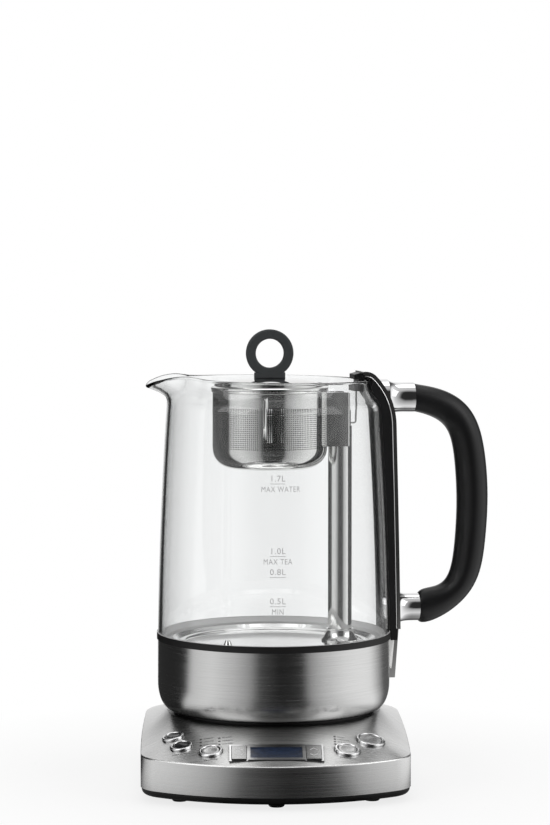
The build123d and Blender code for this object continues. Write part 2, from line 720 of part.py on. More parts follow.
def glass_side(inset):
    """Draw the glass's side line from seam to above the rim, moved in by inset, and return its two ends."""
    wall = ThreePointArc(
        (GLASS_BOTTOM_R - inset, GLASS_BOTTOM),
        (GLASS_MIDDLE[0] - inset, GLASS_MIDDLE[1]),
        (GLASS_SHOULDER[0] - inset, GLASS_SHOULDER[1]),
    )
    neck = Spline(
        wall @ 1,
        *[(radius - inset, height) for radius, height in GLASS_NECK],
        (RIM_R - inset, RIM_TOP + RIM_LIFT),
        tangents=(wall % 1, (0, 1)),
    )
    return wall @ 0, neck @ 1


def glass_form(inset, overrun):
    """Solid inside the glass's outer face and beak, moved in by inset, run on past the seam and the rim."""
    with BuildPart() as form:
        with BuildSketch(Plane.XZ):
            with BuildLine():
                foot, lip = glass_side(inset)
                Polyline(
                    lip, lip + (0, overrun), (0, lip.Y + overrun),
                    (0, foot.Y - overrun), foot - (0, overrun), foot
                )
            make_face()
        revolve(axis=Axis.Z)
        for reach, radius, height in SPOUT_SECTIONS:
            with BuildSketch(Plane.YZ.offset(-reach - max(inset, 0))):
                with Locations((0, height)):
                    Circle(radius - min(inset, radius / 2))
        loft()
    return form.part


with BuildPart() as glass_jug:
    add(glass_form(0, GLASS_WALL))
    add(glass_form(GLASS_WALL, 2 * GLASS_WALL), mode=Mode.SUBTRACT)
    with BuildSketch(Plane.XY.offset(GLASS_BOTTOM)):
        Circle(GLASS_BOTTOM_R + GLASS_WALL)
    extrude(amount=-2 * GLASS_WALL, mode=Mode.SUBTRACT)
    with BuildSketch(Plane.XZ):
        with BuildLine():
            tip = SPOUT_SECTIONS[-1][0]
            Polyline(
                (-tip - GLASS_WALL, SPOUT_TIP_TOP),
                (-tip, SPOUT_TIP_TOP),
                (-RIM_R, RIM_TOP + RIM_LIFT),
                (-SPOUT_SECTIONS[0][0], RIM_TOP),
                (tip, RIM_TOP),
                (tip, RIM_TOP + tip),
                (-tip - GLASS_WALL, RIM_TOP + tip),
                close=True,
            )
        make_face()
    extrude(amount=GLASS_BOTTOM_R, both=True, mode=Mode.SUBTRACT)
    rim_face = glass_jug.faces().filter_by(Axis.Z).sort_by(Axis.Z)[-1]
    fillet(rim_face.edges(), RIM_ROUND)
save(glass_jug.part, "glass_jug", JUG_TURN)


# ---------------------------------------------------------------------------
# Jug: seam ring, steel shell, floor and bottom
# ---------------------------------------------------------------------------

GLASS_INNER_R = GLASS_BOTTOM_R - GLASS_WALL

with BuildPart() as seam_gasket:
    with BuildSketch(Plane.XZ):
        with BuildLine():
            Polyline(
                (GLASS_INNER_R - GLASS_WALL, SEAM_BOTTOM),
                (GLASS_BOTTOM_R + SEAM_LIP, SEAM_BOTTOM),
                (GLASS_BOTTOM_R + SEAM_LIP, SEAM_TOP),
                (GLASS_BOTTOM_R, SEAM_TOP),
                (GLASS_BOTTOM_R, GLASS_BOTTOM),
                (GLASS_INNER_R - RUN, GLASS_BOTTOM),
                (GLASS_INNER_R - RUN, SEAM_TOP),
                (GLASS_INNER_R - GLASS_WALL, SEAM_BOTTOM + FLOOR_SHEET),
                close=True,
            )
        make_face()
    revolve(axis=Axis.Z)
save(seam_gasket.part, "seam_gasket", JUG_TURN)


def shell_side(inset):
    """Draw the steel shell's side line from its hem to the seam, moved in by inset; return its two ends."""
    across, up = SHELL_ROUND
    hem = Line((SHELL_HEM_R, SHELL_BOTTOM + inset), (SHELL_R - across, SHELL_BOTTOM + inset))
    EllipticalCenterArc(
        (SHELL_R - across, SHELL_BOTTOM + up), across - inset, up - inset, start_angle=270, arc_size=90
    )
    side = Line((SHELL_R - inset, SHELL_BOTTOM + up), (SHELL_R - inset, SEAM_BOTTOM))
    return hem @ 0, side @ 1


FLOOR_FLANGE = SEAM_BOTTOM - FLOOR_SHEET

with BuildPart() as jug_shell:
    with BuildSketch(Plane.XZ):
        with BuildLine():
            outer_hem, outer_top = shell_side(0)
            inner_hem, inner_top = shell_side(SHELL_WALL)
            Line(outer_hem, inner_hem)
            Line(outer_top, inner_top)
        make_face()
    revolve(axis=Axis.Z)
save(jug_shell.part, "jug_shell", JUG_TURN)

POST = (POST_X, 0)

with BuildPart() as jug_floor:
    with BuildSketch(Plane.XZ):
        with BuildLine():
            step_low = SEAM_BOTTOM - FLOOR_STEP
            rim_line = Line((SHELL_R - SHELL_WALL, SEAM_BOTTOM), (FLOOR_STEP_R + FLOOR_STEP, SEAM_BOTTOM))
            step_line = Line(rim_line @ 1, (FLOOR_STEP_R, step_low))
            bead_line = ThreePointArc(
                step_line @ 1, (FLOOR_BEAD_R + FLOOR_STEP / 2, step_low + FLOOR_BEAD), (FLOOR_BEAD_R, step_low)
            )
            Polyline(
                bead_line @ 1,
                (0, step_low),
                (0, step_low - FLOOR_SHEET),
                (FLOOR_STEP_R, step_low - FLOOR_SHEET),
                (FLOOR_STEP_R + FLOOR_STEP, FLOOR_FLANGE),
                (SHELL_R - SHELL_WALL, FLOOR_FLANGE),
                rim_line @ 0,
            )
        make_face()
    revolve(axis=Axis.Z)
    with BuildSketch(Plane.XY.offset(SEAM_BOTTOM)):
        with Locations(POST):
            Circle(POST_R)
        with Locations((SENSOR_X, SENSOR_Y)):
            Circle(SENSOR_TIP_R)
    extrude(amount=-2 * FLOOR_STEP, mode=Mode.SUBTRACT)
save(jug_floor.part, "jug_floor", JUG_TURN)

FLOOR_TOP = SEAM_BOTTOM - FLOOR_STEP
FLOOR_UNDER = FLOOR_TOP - FLOOR_SHEET

with BuildPart() as heater_plate:
    with BuildSketch(Plane.XY.offset(FLOOR_UNDER)):
        Circle(HEATER_PLATE_R)
        with Locations(POST):
            Circle(NUT_R + GAP, mode=Mode.SUBTRACT)
        with Locations((SENSOR_X, SENSOR_Y)):
            Circle(SENSOR_TIP_R, mode=Mode.SUBTRACT)
    extrude(amount=-HEATER_PLATE)
save(heater_plate.part, "heater_plate", JUG_TURN)

HEATER_Z = FLOOR_UNDER - HEATER_PLATE - HEATER_TUBE_R

with BuildPart() as heating_element:
    with BuildLine(Plane.XY.offset(HEATER_Z)) as heater_path:
        CenterArc((0, 0), HEATER_R, HEATER_OPENING, 360 - 2 * HEATER_OPENING)
    with BuildSketch(Plane(origin=heater_path.line @ 0, z_dir=heater_path.line % 0)):
        Circle(HEATER_TUBE_R)
    sweep(path=heater_path.line)
    for end in (heater_path.line @ 0, heater_path.line @ 1):
        with BuildSketch(Plane(origin=end)):
            Circle(TERMINAL_R)
        extrude(amount=-TERMINAL_LENGTH)
save(heating_element.part, "heating_element", JUG_TURN)

with BuildPart() as temperature_sensor:
    with BuildSketch(Plane.XY.offset(FLOOR_TOP)):
        with Locations((SENSOR_X, SENSOR_Y)):
            Circle(SENSOR_R)
    with BuildSketch(Plane.XY.offset(FLOOR_TOP + SENSOR_HEIGHT)):
        with Locations((SENSOR_X, SENSOR_Y)):
            Circle(SENSOR_TIP_R)
    loft()
    with BuildSketch(Plane.XY.offset(FLOOR_TOP)):
        with Locations((SENSOR_X, SENSOR_Y)):
            Circle(SENSOR_TIP_R)
    extrude(amount=-SENSOR_STEM)
save(temperature_sensor.part, "temperature_sensor", JUG_TURN)

BOTTOM_TOP = SHELL_BOTTOM + BOTTOM_SPIGOT

with BuildPart() as jug_bottom:
    with BuildSketch(Plane.XY.offset(SEAT_TOP)):
        Circle(BOTTOM_FOOT_R)
        Circle(BOTTOM_BORE_R, mode=Mode.SUBTRACT)
    extrude(amount=SHELL_BOTTOM - SEAT_TOP)
    with BuildSketch(Plane.XY.offset(SHELL_BOTTOM)):
        Circle(SHELL_HEM_R)
        Circle(BOTTOM_BORE_R, mode=Mode.SUBTRACT)
    extrude(amount=BOTTOM_SPIGOT)
save(jug_bottom.part, "jug_bottom", JUG_TURN)

PLUG_FACE = SOCKET_TOP + GAP

with BuildPart() as jug_plug:
    with BuildSketch(Plane.XY.offset(BOTTOM_TOP)):
        Circle(PLUG_R)
        Circle(BOTTOM_BORE_R, mode=Mode.SUBTRACT)
    extrude(amount=PLUG_FACE - BOTTOM_TOP)
    with BuildSketch(Plane.XY.offset(PLUG_FACE)):
        Circle(PLUG_R)
    extrude(amount=PLUG_BODY)
    with BuildSketch(Plane.XY.offset(PLUG_FACE)):
        Circle(PLUG_RING[1])
        Circle(PLUG_RING[0], mode=Mode.SUBTRACT)
        Circle(PLUG_PIN_R)
    extrude(amount=-(SOCKET_DEPTH - 2 * GAP))
save(jug_plug.part, "jug_plug", JUG_TURN)


# ---------------------------------------------------------------------------
# Jug: lift post and what drives the basket inside it
# ---------------------------------------------------------------------------

POST_BORE_R = POST_R - POST_WALL

with BuildPart() as post_tube:
    with BuildSketch(Plane.XY.offset(POST_BOTTOM)):
        with Locations(POST):
            Circle(POST_R)
            Circle(POST_BORE_R, mode=Mode.SUBTRACT)
    extrude(amount=POST_TOP - POST_BOTTOM)
save(post_tube.part, "post_tube", JUG_TURN)

with BuildPart() as post_foot:
    with BuildSketch(Plane.XZ):
        with BuildLine():
            tip_inner = (POST_X + POST_R, FLOOR_TOP + FOOT_FLARE)
            tip = Line(tip_inner, (POST_X + POST_R + FOOT_FLARE_TIP, FLOOR_TOP + FOOT_FLARE))
            flare = Spline(
                tip @ 1,
                (POST_X + FOOT_FLARE_R, FLOOR_TOP + FOOT_FLARE_TIP),
                tangents=((0, -1), (1, -1)),
            )
            Polyline(flare @ 1, (POST_X + FOOT_FLARE_R, FLOOR_TOP), (POST_X + POST_R, FLOOR_TOP), tip @ 0)
        make_face()
    revolve(axis=Axis((POST_X, 0, 0), (0, 0, 1)))
save(post_foot.part, "post_foot", JUG_TURN)

with BuildPart() as post_nut:
    with BuildSketch(Plane.XY.offset(FLOOR_UNDER)):
        with Locations(POST):
            RegularPolygon(NUT_R, 6)
            Circle(POST_R, mode=Mode.SUBTRACT)
    extrude(amount=-NUT_HEIGHT)
save(post_nut.part, "post_nut", JUG_TURN)

with BuildPart() as post_cap:
    with BuildSketch(Plane.XY.offset(POST_TOP)):
        with Locations(POST):
            Circle(CAP_R)
    extrude(amount=CAP_HEIGHT)
    fillet(post_cap.edges().group_by(Axis.Z)[-1], CAP_ROUND)
    with BuildSketch(Plane.XY.offset(POST_TOP)):
        with Locations(POST):
            Circle(POST_BORE_R)
    extrude(amount=-CAP_SPIGOT)
save(post_cap.part, "post_cap", JUG_TURN)

STAY_LOW = POST_TOP + STAY_BEND

with BuildPart() as post_stay:
    with BuildLine(Plane.XZ) as stay_path:
        FilletPolyline(
            ((CLIP_INNER + CLIP_WEB_OUTER) / 2, CLIP_PRONG[0]),
            (CLIP_WEB_INNER, STAY_LOW),
            (POST_X + CAP_R, STAY_LOW),
            radius=STAY_BEND,
        )
    with BuildSketch(Plane(origin=stay_path.line @ 0, z_dir=stay_path.line % 0)):
        Circle(STAY_R)
    sweep(path=stay_path.line)
save(post_stay.part, "post_stay", JUG_TURN)

MOTOR_TOP = POST_BOTTOM - BRACKET_PLATE
BUSH_TOP = POST_TOP - CAP_SPIGOT
CARRIAGE_TOP = BUSH_TOP - TOP_BUSH - GAP

with BuildPart() as screw_bushes:
    for height, thickness in ((POST_BOTTOM, BUSH_HEIGHT), (BUSH_TOP - TOP_BUSH, TOP_BUSH)):
        with BuildSketch(Plane.XY.offset(height)):
            with Locations(POST):
                Circle(POST_BORE_R)
                Circle(LEAD_SCREW_R + PIN_FIT, mode=Mode.SUBTRACT)
        extrude(amount=thickness)
save(screw_bushes.part, "screw_bushes", JUG_TURN)

with BuildPart() as motor_bracket:
    with BuildSketch(Plane.XY.offset(MOTOR_TOP)):
        with Locations(POST):
            Circle(BRACKET_R)
            Circle(LEAD_SCREW_R + GAP, mode=Mode.SUBTRACT)
    extrude(amount=BRACKET_PLATE)
    with BuildSketch(Plane.XY.offset(MOTOR_TOP)):
        with Locations(POST):
            Circle(BRACKET_R)
            Circle(MOTOR_R, mode=Mode.SUBTRACT)
    extrude(amount=-MOTOR_HEIGHT / 2)
save(motor_bracket.part, "motor_bracket", JUG_TURN)

with BuildPart() as lift_motor:
    with BuildSketch(Plane.XY.offset(MOTOR_TOP)):
        with Locations(POST):
            Circle(MOTOR_R)
    extrude(amount=-MOTOR_HEIGHT)
save(lift_motor.part, "lift_motor", JUG_TURN)

with BuildPart() as lead_screw:
    with BuildSketch(Plane.XY.offset(MOTOR_TOP + RUN)):
        with Locations(POST):
            Circle(LEAD_SCREW_R)
    extrude(amount=BUSH_TOP - MOTOR_TOP - 2 * RUN)
save(lead_screw.part, "lead_screw", JUG_TURN)

MAGNET_TOP = CARRIAGE_TOP - MAGNET_COVER

with BuildPart() as lift_carriage:
    with BuildSketch(Plane.XY.offset(CARRIAGE_TOP)):
        with Locations(POST):
            Circle(CARRIAGE_R)
            Circle(LEAD_SCREW_R + RUN, mode=Mode.SUBTRACT)
    extrude(amount=-CARRIAGE_HEIGHT)
    for height in (MAGNET_TOP, MAGNET_TOP - 2 * MAGNET_HEIGHT):
        with BuildSketch(Plane.XY.offset(height)):
            with Locations(POST):
                Circle(CARRIAGE_R)
                Circle(MAGNET_CORE_R, mode=Mode.SUBTRACT)
        extrude(amount=-MAGNET_HEIGHT, mode=Mode.SUBTRACT)
save(lift_carriage.part, "lift_carriage", JUG_TURN)

with BuildPart() as carriage_magnets:
    for height in (MAGNET_TOP, MAGNET_TOP - 2 * MAGNET_HEIGHT):
        with BuildSketch(Plane.XY.offset(height)):
            with Locations(POST):
                Circle(CARRIAGE_R - RUN)
                Circle(MAGNET_CORE_R, mode=Mode.SUBTRACT)
        extrude(amount=-MAGNET_HEIGHT)
save(carriage_magnets.part, "carriage_magnets", JUG_TURN)


# ---------------------------------------------------------------------------
# Handle: strap, backing, rim clip, ferrules and grip
# ---------------------------------------------------------------------------

def strap_point(station, inset):
    """Point of the strap's outer line, moved inwards along its own normal."""
    radius, height, angle = station
    return (
        radius - inset * math.cos(math.radians(angle)),
        height - inset * math.sin(math.radians(angle)),
    )


def strap_side(inset):
    """Draw the strap's line from the seam over the rim, moved inwards, and return its two ends."""
    side = ThreePointArc(*[strap_point(station, inset) for station in (STRAP_SEAM, STRAP_MIDDLE, STRAP_TURN)])
    brow = TangentArc(side @ 1, strap_point(STRAP_BROW, inset), tangent=side % 1)
    lip = TangentArc(brow @ 1, strap_point(STRAP_LIP, inset), tangent=brow % 1)
    return side @ 0, lip @ 1


with BuildPart() as strap_zone:
    with BuildSketch(Plane.XZ):
        with BuildLine():
            low, high = strap_side(0)
            Polyline(high, (0, high.Y), (0, STRAP_END[1]), STRAP_END[:2], low)
        make_face()
    extrude(amount=SHELL_R, both=True)


def strap_reach(height):
    """Distance of the strap's outer line from the jug's axis at a height."""
    outward = Axis((0, 0, height), (1, 0, 0))
    hits = [hit for face in strap_zone.faces() for hit in face.find_intersection_points(outward)]
    return max(point.X for point, _ in hits)


LOWER_ROOT = strap_reach(LOWER_HEIGHT)

with BuildPart() as bolt_hole:
    with BuildSketch(Plane.YZ.offset(LOWER_ROOT - STRAP_SHEET)):
        with Locations((0, LOWER_HEIGHT)):
            Circle(BOLT_R)
    extrude(amount=BOLT_LENGTH)
    with BuildSketch(Plane.YZ.offset(LOWER_ROOT - STRAP_SHEET)):
        with Locations((0, LOWER_HEIGHT)):
            Circle(BOLT_HEAD_R)
    extrude(amount=-BOLT_HEAD)

with BuildPart() as handle_plate:
    with BuildSketch(Plane.XZ):
        with BuildLine():
            outer_low, outer_high = strap_side(0)
            inner_low, inner_high = strap_side(STRAP_SHEET)
            Line(outer_low, inner_low)
            Line(outer_high, inner_high)
        make_face()
    extrude(amount=STRAP_WIDTH / 2, both=True)
    with BuildSketch(Plane.XZ):
        with BuildLine():
            Polyline(
                strap_point(STRAP_SEAM, 0),
                strap_point(STRAP_SEAM, STRAP_SHEET),
                (STRAP_END[0] - STRAP_SHEET, STRAP_END[1] + TAIL_FOOT),
                (SHELL_R + RUN, STRAP_END[1] + TAIL_FOOT),
                (SHELL_R + RUN, STRAP_END[1]),
                STRAP_END[:2],
                close=True,
            )
        make_face()
    extrude(amount=TAIL_WIDTH / 2, both=True)
    add(bolt_hole.part, mode=Mode.SUBTRACT)
save(handle_plate.part, "handle_plate", JUG_TURN)

with BuildPart() as handle_backing:
    with BuildSketch(Plane.XZ):
        with BuildLine():
            low, high = strap_side(STRAP_SHEET)
            Polyline(high, (CLIP_INNER, high.Y), (CLIP_INNER, BACKING_BOTTOM), (low.X, BACKING_BOTTOM), low)
        make_face()
    extrude(amount=BACKING_WIDTH / 2, both=True)
    add(glass_form(-RUN, GLASS_WALL), mode=Mode.SUBTRACT)
    with BuildSketch(Plane.XY.offset(BACKING_BOTTOM)):
        Circle(GLASS_BOTTOM_R + SEAM_LIP + RUN)
    extrude(amount=SEAM_TOP + RUN - BACKING_BOTTOM, mode=Mode.SUBTRACT)
    with BuildSketch(Plane.YZ.offset(CLIP_OUTER)):
        with Locations((0, RIM_TOP)):
            Rectangle(2 * BACKING_WIDTH, 2 * (RIM_TOP - CLIP_PRONG[0]))
    extrude(amount=-CLIP_OUTER, mode=Mode.SUBTRACT)
    add(handle_plate.part, mode=Mode.SUBTRACT)
    add(bolt_hole.part, mode=Mode.SUBTRACT)
save(handle_backing.part, "handle_backing", JUG_TURN)

with BuildPart() as rim_clip:
    with BuildSketch(Plane.XZ):
        with BuildLine():
            Polyline(
                (CLIP_INNER, RIM_TOP + RUN),
                (CLIP_INNER, RIM_TOP + CLIP_ARM),
                (STRAP_LIP[0] - STRAP_SHEET / 2, RIM_TOP + CLIP_ARM + CLIP_CROWN),
                (CLIP_OUTER, RIM_TOP + CLIP_ARM),
                (CLIP_OUTER, RIM_TOP + RUN),
                (CLIP_WEB_OUTER, RIM_TOP + RUN),
                (CLIP_WEB_OUTER, CLIP_PRONG[0]),
                (CLIP_INNER, CLIP_PRONG[0]),
                (CLIP_INNER, CLIP_PRONG[1]),
                (CLIP_WEB_INNER, CLIP_PRONG[1]),
                (CLIP_WEB_INNER, RIM_TOP + RUN),
                close=True,
            )
        make_face()
    extrude(amount=CLIP_WIDTH / 2, both=True)
    add(handle_plate.part, mode=Mode.SUBTRACT)
save(rim_clip.part, "rim_clip", JUG_TURN)


def ferrule(height, radius, end):
    """Bright ferrule from the strap's outer face to the grip, flared where it meets the strap."""
    root = strap_reach(height)
    with BuildPart() as piece:
        with BuildSketch(Plane.XZ):
            with BuildLine():
                Polyline(
                    (end, height + radius), (end, height), (root - radius, height),
                    (root - radius, height + radius + FERRULE_FLARE), (root, height + radius + FERRULE_FLARE),
                )
                Spline(
                    (root, height + radius + FERRULE_FLARE),
                    (end - FERRULE_COLLAR, height + radius),
                    tangents=((1, -1), (1, 0)),
                )
                Line((end - FERRULE_COLLAR, height + radius), (end, height + radius))
            make_face()
        revolve(axis=Axis((0, 0, height), (1, 0, 0)))
        add(strap_zone.part, mode=Mode.SUBTRACT)
        add(bolt_hole.part, mode=Mode.SUBTRACT)
    return piece.part


save(ferrule(UPPER_HEIGHT, UPPER_R, UPPER_END), "upper_ferrule", JUG_TURN)
save(ferrule(LOWER_HEIGHT, LOWER_R, LOWER_END), "lower_ferrule", JUG_TURN)
save(bolt_hole.part, "handle_bolt", JUG_TURN)

with BuildPart() as handle_grip:
    with BuildLine(Plane.XZ) as grip_path:
        upper_bend = TangentArc((UPPER_END, UPPER_HEIGHT), GRIP_SHOULDER, tangent=(1, 0))
        grip_back = TangentArc(upper_bend @ 1, GRIP_ELBOW, tangent=upper_bend % 1)
        TangentArc(grip_back @ 1, (LOWER_END, LOWER_HEIGHT), tangent=grip_back % 1)
    grip_line = grip_path.line
    end_directions = {0: (1, 0, 0), GRIP_SECTIONS: (-1, 0, 0)}
    for section in range(GRIP_SECTIONS + 1):
        along = section / GRIP_SECTIONS
        direction = end_directions.get(section, grip_line % along)
        swell = math.sin(math.pi * along)
        end_r = UPPER_R + (LOWER_R - UPPER_R) * along - FERRULE_STEP
        with BuildSketch(Plane(origin=grip_line @ along, x_dir=(0, 1, 0), z_dir=direction)):
            Ellipse(end_r + GRIP_WIDER * swell, end_r + GRIP_THICKER * swell)
    loft()
save(handle_grip.part, "handle_grip", JUG_TURN)


# ---------------------------------------------------------------------------
# Tea basket, its saddle on the post, and its lid
# ---------------------------------------------------------------------------

BASKET_AXIS = Axis((BASKET_X, 0, 0), (0, 0, 1))


def basket_side(inset):
    """Draw half of the basket's bowl from its centre to its rim, moved in by inset; return its two ends."""
    centre = BASKET_X
    bottom = Line((centre, BASKET_BOTTOM + inset), (centre + BASKET_R - BASKET_ROUND, BASKET_BOTTOM + inset))
    bend = CenterArc(
        (centre + BASKET_R - BASKET_ROUND, BASKET_BOTTOM + BASKET_ROUND), BASKET_ROUND - inset, 270, 90
    )
    side = Line(bend @ 1, (centre + BASKET_R - inset, BASKET_RIM))
    return bottom @ 0, side @ 1


with BuildPart() as tea_basket:
    with BuildSketch(Plane.XZ):
        with BuildLine():
            outer_centre, outer_rim = basket_side(0)
            inner_centre, inner_rim = basket_side(BASKET_WALL)
            Line(outer_centre, inner_centre)
            Line(outer_rim, inner_rim)
        make_face()
        with Locations((BASKET_X + BASKET_R, BASKET_RIM - BASKET_BEAD)):
            Circle(BASKET_BEAD)
        with Locations((BASKET_X + BASKET_R - BASKET_WALL - BASKET_BEAD, BASKET_RIM - BASKET_BEAD)):
            Rectangle(2 * BASKET_BEAD, 3 * BASKET_BEAD, mode=Mode.SUBTRACT)
    revolve(axis=BASKET_AXIS)
save(tea_basket.part, "tea_basket", JUG_TURN)

SADDLE_OUTER = BASKET_X + BASKET_R + SADDLE_REACH

with BuildPart() as saddle_pockets:
    with BuildSketch(Plane.XY.offset(SADDLE_BOTTOM + MAGNET_COVER)):
        for side in (-1, 1):
            with Locations((BASKET_X + BASKET_R + SADDLE_MAGNET[0], side * (SADDLE_WIDTH / 2 - SADDLE_MAGNET[1]))):
                Rectangle(SADDLE_MAGNET[0], SADDLE_MAGNET[1])
    extrude(amount=SADDLE_MAGNET[2])

with BuildPart() as basket_saddle:
    with BuildSketch(Plane.XY.offset(SADDLE_BOTTOM)):
        with BuildLine():
            Polyline(
                (BASKET_X, -SADDLE_WIDTH / 2),
                (SADDLE_OUTER, -SADDLE_WIDTH / 2),
                (SADDLE_OUTER, SADDLE_WIDTH / 2),
                (BASKET_X, SADDLE_WIDTH / 2),
                close=True,
            )
        make_face()
    extrude(amount=SADDLE_TOP - BASKET_BEAD - SADDLE_BOTTOM)
    fillet(basket_saddle.faces().sort_by(Axis.X)[-1].edges(), SADDLE_ROUND / 2)
    with BuildSketch(Plane.XY.offset(SADDLE_BOTTOM)):
        with Locations((BASKET_X, 0)):
            Circle(BASKET_R)
        with Locations(POST):
            Circle(POST_R + SADDLE_FIT)
    extrude(amount=SADDLE_TOP, mode=Mode.SUBTRACT)
    add(saddle_pockets.part, mode=Mode.SUBTRACT)
save(basket_saddle.part, "basket_saddle", JUG_TURN)
save(saddle_pockets.part, "saddle_magnets", JUG_TURN)

LID_BOTTOM = BASKET_RIM + RUN
LID_CROWN = LID_BOTTOM + LID_EDGE + LID_RISE


def lid_dome(drop):
    """Draw the lid's domed line from its edge to its flat crown, lowered by drop, and return its two ends."""
    edge = (BASKET_X + LID_R - drop, LID_BOTTOM + LID_EDGE - drop)
    crown = (BASKET_X + LID_CROWN_R, LID_CROWN - drop)
    dome = Spline(edge, crown, tangents=((-1, LID_EDGE_RISE), (-1, 0)))
    flat = Line(crown, (BASKET_X, LID_CROWN - drop))
    return dome @ 0, flat @ 1


with BuildPart() as basket_lid:
    with BuildSketch(Plane.XZ):
        with BuildLine():
            edge, centre = lid_dome(0)
            Polyline(edge, (BASKET_X + LID_R, LID_BOTTOM), (BASKET_X, LID_BOTTOM), centre)
        make_face()
        with BuildLine():
            edge, centre = lid_dome(LID_SHEET)
            Polyline(
                edge,
                (BASKET_X + LID_R - LID_SHEET - BASKET_WALL - 2 * RUN, LID_BOTTOM),
                (BASKET_X, LID_BOTTOM),
                centre,
            )
        make_face(mode=Mode.SUBTRACT)
        with Locations((BASKET_X + BASKET_R - BASKET_WALL - GAP - LID_SHEET / 2, LID_BOTTOM)):
            Rectangle(LID_SHEET, 2 * LID_SPIGOT)
    revolve(axis=BASKET_AXIS)
    with BuildSketch(Plane.XY.offset(LID_CROWN)):
        with Locations((BASKET_X, 0)):
            Circle(RING_STEM_R)
    extrude(amount=-LID_SPIGOT, mode=Mode.SUBTRACT)
save(basket_lid.part, "basket_lid", JUG_TURN)

RING_CENTRE = LID_CROWN + RING_FOOT[1] / 4 + RING_OUTER_R

with BuildPart() as ring_handle:
    with BuildSketch(Plane.XZ):
        with Locations((BASKET_X, RING_CENTRE)):
            Circle(RING_OUTER_R)
        with Locations((BASKET_X, LID_CROWN + RING_FOOT[1] / 2)):
            Rectangle(*RING_FOOT)
        with Locations((BASKET_X, RING_CENTRE)):
            Circle(RING_INNER_R, mode=Mode.SUBTRACT)
    extrude(amount=RING_THICKNESS / 2, both=True)
    fillet(ring_handle.faces().filter_by(Axis.Y).edges(), RING_ROUND)
    with BuildSketch(Plane.XY.offset(LID_CROWN)):
        with Locations((BASKET_X, 0)):
            Circle(RING_STEM_R)
    extrude(amount=-LID_SHEET)
    with BuildSketch(Plane.XY.offset(LID_CROWN - LID_SHEET)):
        with Locations((BASKET_X, 0)):
            Circle(RING_WASHER_R)
    extrude(amount=-RING_WASHER)
save(ring_handle.part, "ring_handle", JUG_TURN)
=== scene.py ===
import math

import bmesh
import bpy
from mathutils import Matrix, Vector
from mathutils.bvhtree import BVHTree


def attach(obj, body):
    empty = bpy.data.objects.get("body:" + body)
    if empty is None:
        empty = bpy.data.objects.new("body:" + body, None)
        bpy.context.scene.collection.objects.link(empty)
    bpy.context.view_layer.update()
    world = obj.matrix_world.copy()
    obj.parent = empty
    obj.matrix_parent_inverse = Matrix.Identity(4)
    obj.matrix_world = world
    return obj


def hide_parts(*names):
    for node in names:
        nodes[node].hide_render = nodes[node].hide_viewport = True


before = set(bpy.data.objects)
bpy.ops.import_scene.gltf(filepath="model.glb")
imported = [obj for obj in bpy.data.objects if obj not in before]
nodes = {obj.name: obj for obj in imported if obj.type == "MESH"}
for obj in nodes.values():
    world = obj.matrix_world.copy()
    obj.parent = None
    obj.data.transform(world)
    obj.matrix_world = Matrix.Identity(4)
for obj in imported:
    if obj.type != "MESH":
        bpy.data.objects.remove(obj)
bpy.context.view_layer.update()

# ---------------------------------------------------------------------------
# Sizes, in metres and radians unless a table says otherwise, in the frame's own axes
# ---------------------------------------------------------------------------

MM = 0.001
TURN = 2 * math.pi
JUG_TURN = math.radians(9.0)            # the jug stands turned on its round connector
OUTSIDE = 0.2                           # how far out a ray starts that looks for a surface

# Tea basket
BASKET_AXIS_X = -2.6 * MM               # before the jug's turn
BASKET_CENTRE = (BASKET_AXIS_X * math.cos(JUG_TURN), BASKET_AXIS_X * math.sin(JUG_TURN))
BASKET_R = 37.0 * MM
BASKET_WALL = 0.8 * MM
BASKET_BOTTOM = 200.0 * MM
BASKET_RIM = 250.4 * MM
BASKET_BEND = 13.0 * MM                 # radius of the bowl's lower bend
BEND_STEPS = 14
BASKET_ROLL = 1.0 * MM                  # radius of the rolled rim
ROLL_STEPS = 8
HOLE_COLUMNS = 180                      # places for holes round the basket
HOLE_ROWS = 21
HOLE_PITCH = TURN * BASKET_R / HOLE_COLUMNS
HOLE_R = 0.40 * MM
HOLE_SIDES = 8                          # two for each corner of the tile round the hole
HOLE_START = math.radians(225.0)        # the first of them points at the tile's first corner
PANELS = 4                              # perforated panels round the basket
STRIP_COLUMNS = 4                       # plain columns between two panels
STRIP_SWEEP = TURN * STRIP_COLUMNS / HOLE_COLUMNS
FIRST_STRIP = math.radians(-102.0)      # bearing at which the first plain strip starts
SIEVE_BOTTOM = 213.4 * MM
SIEVE_TOP = SIEVE_BOTTOM + HOLE_ROWS * HOLE_PITCH
SIEVE_MERGE = 0.01 * MM                 # corners of the sheets closer than this become one
TURNED_MERGE = 0.005 * MM               # the same for the turned parts
SPECK = 0.001 * MM                      # edges shorter than this are dissolved

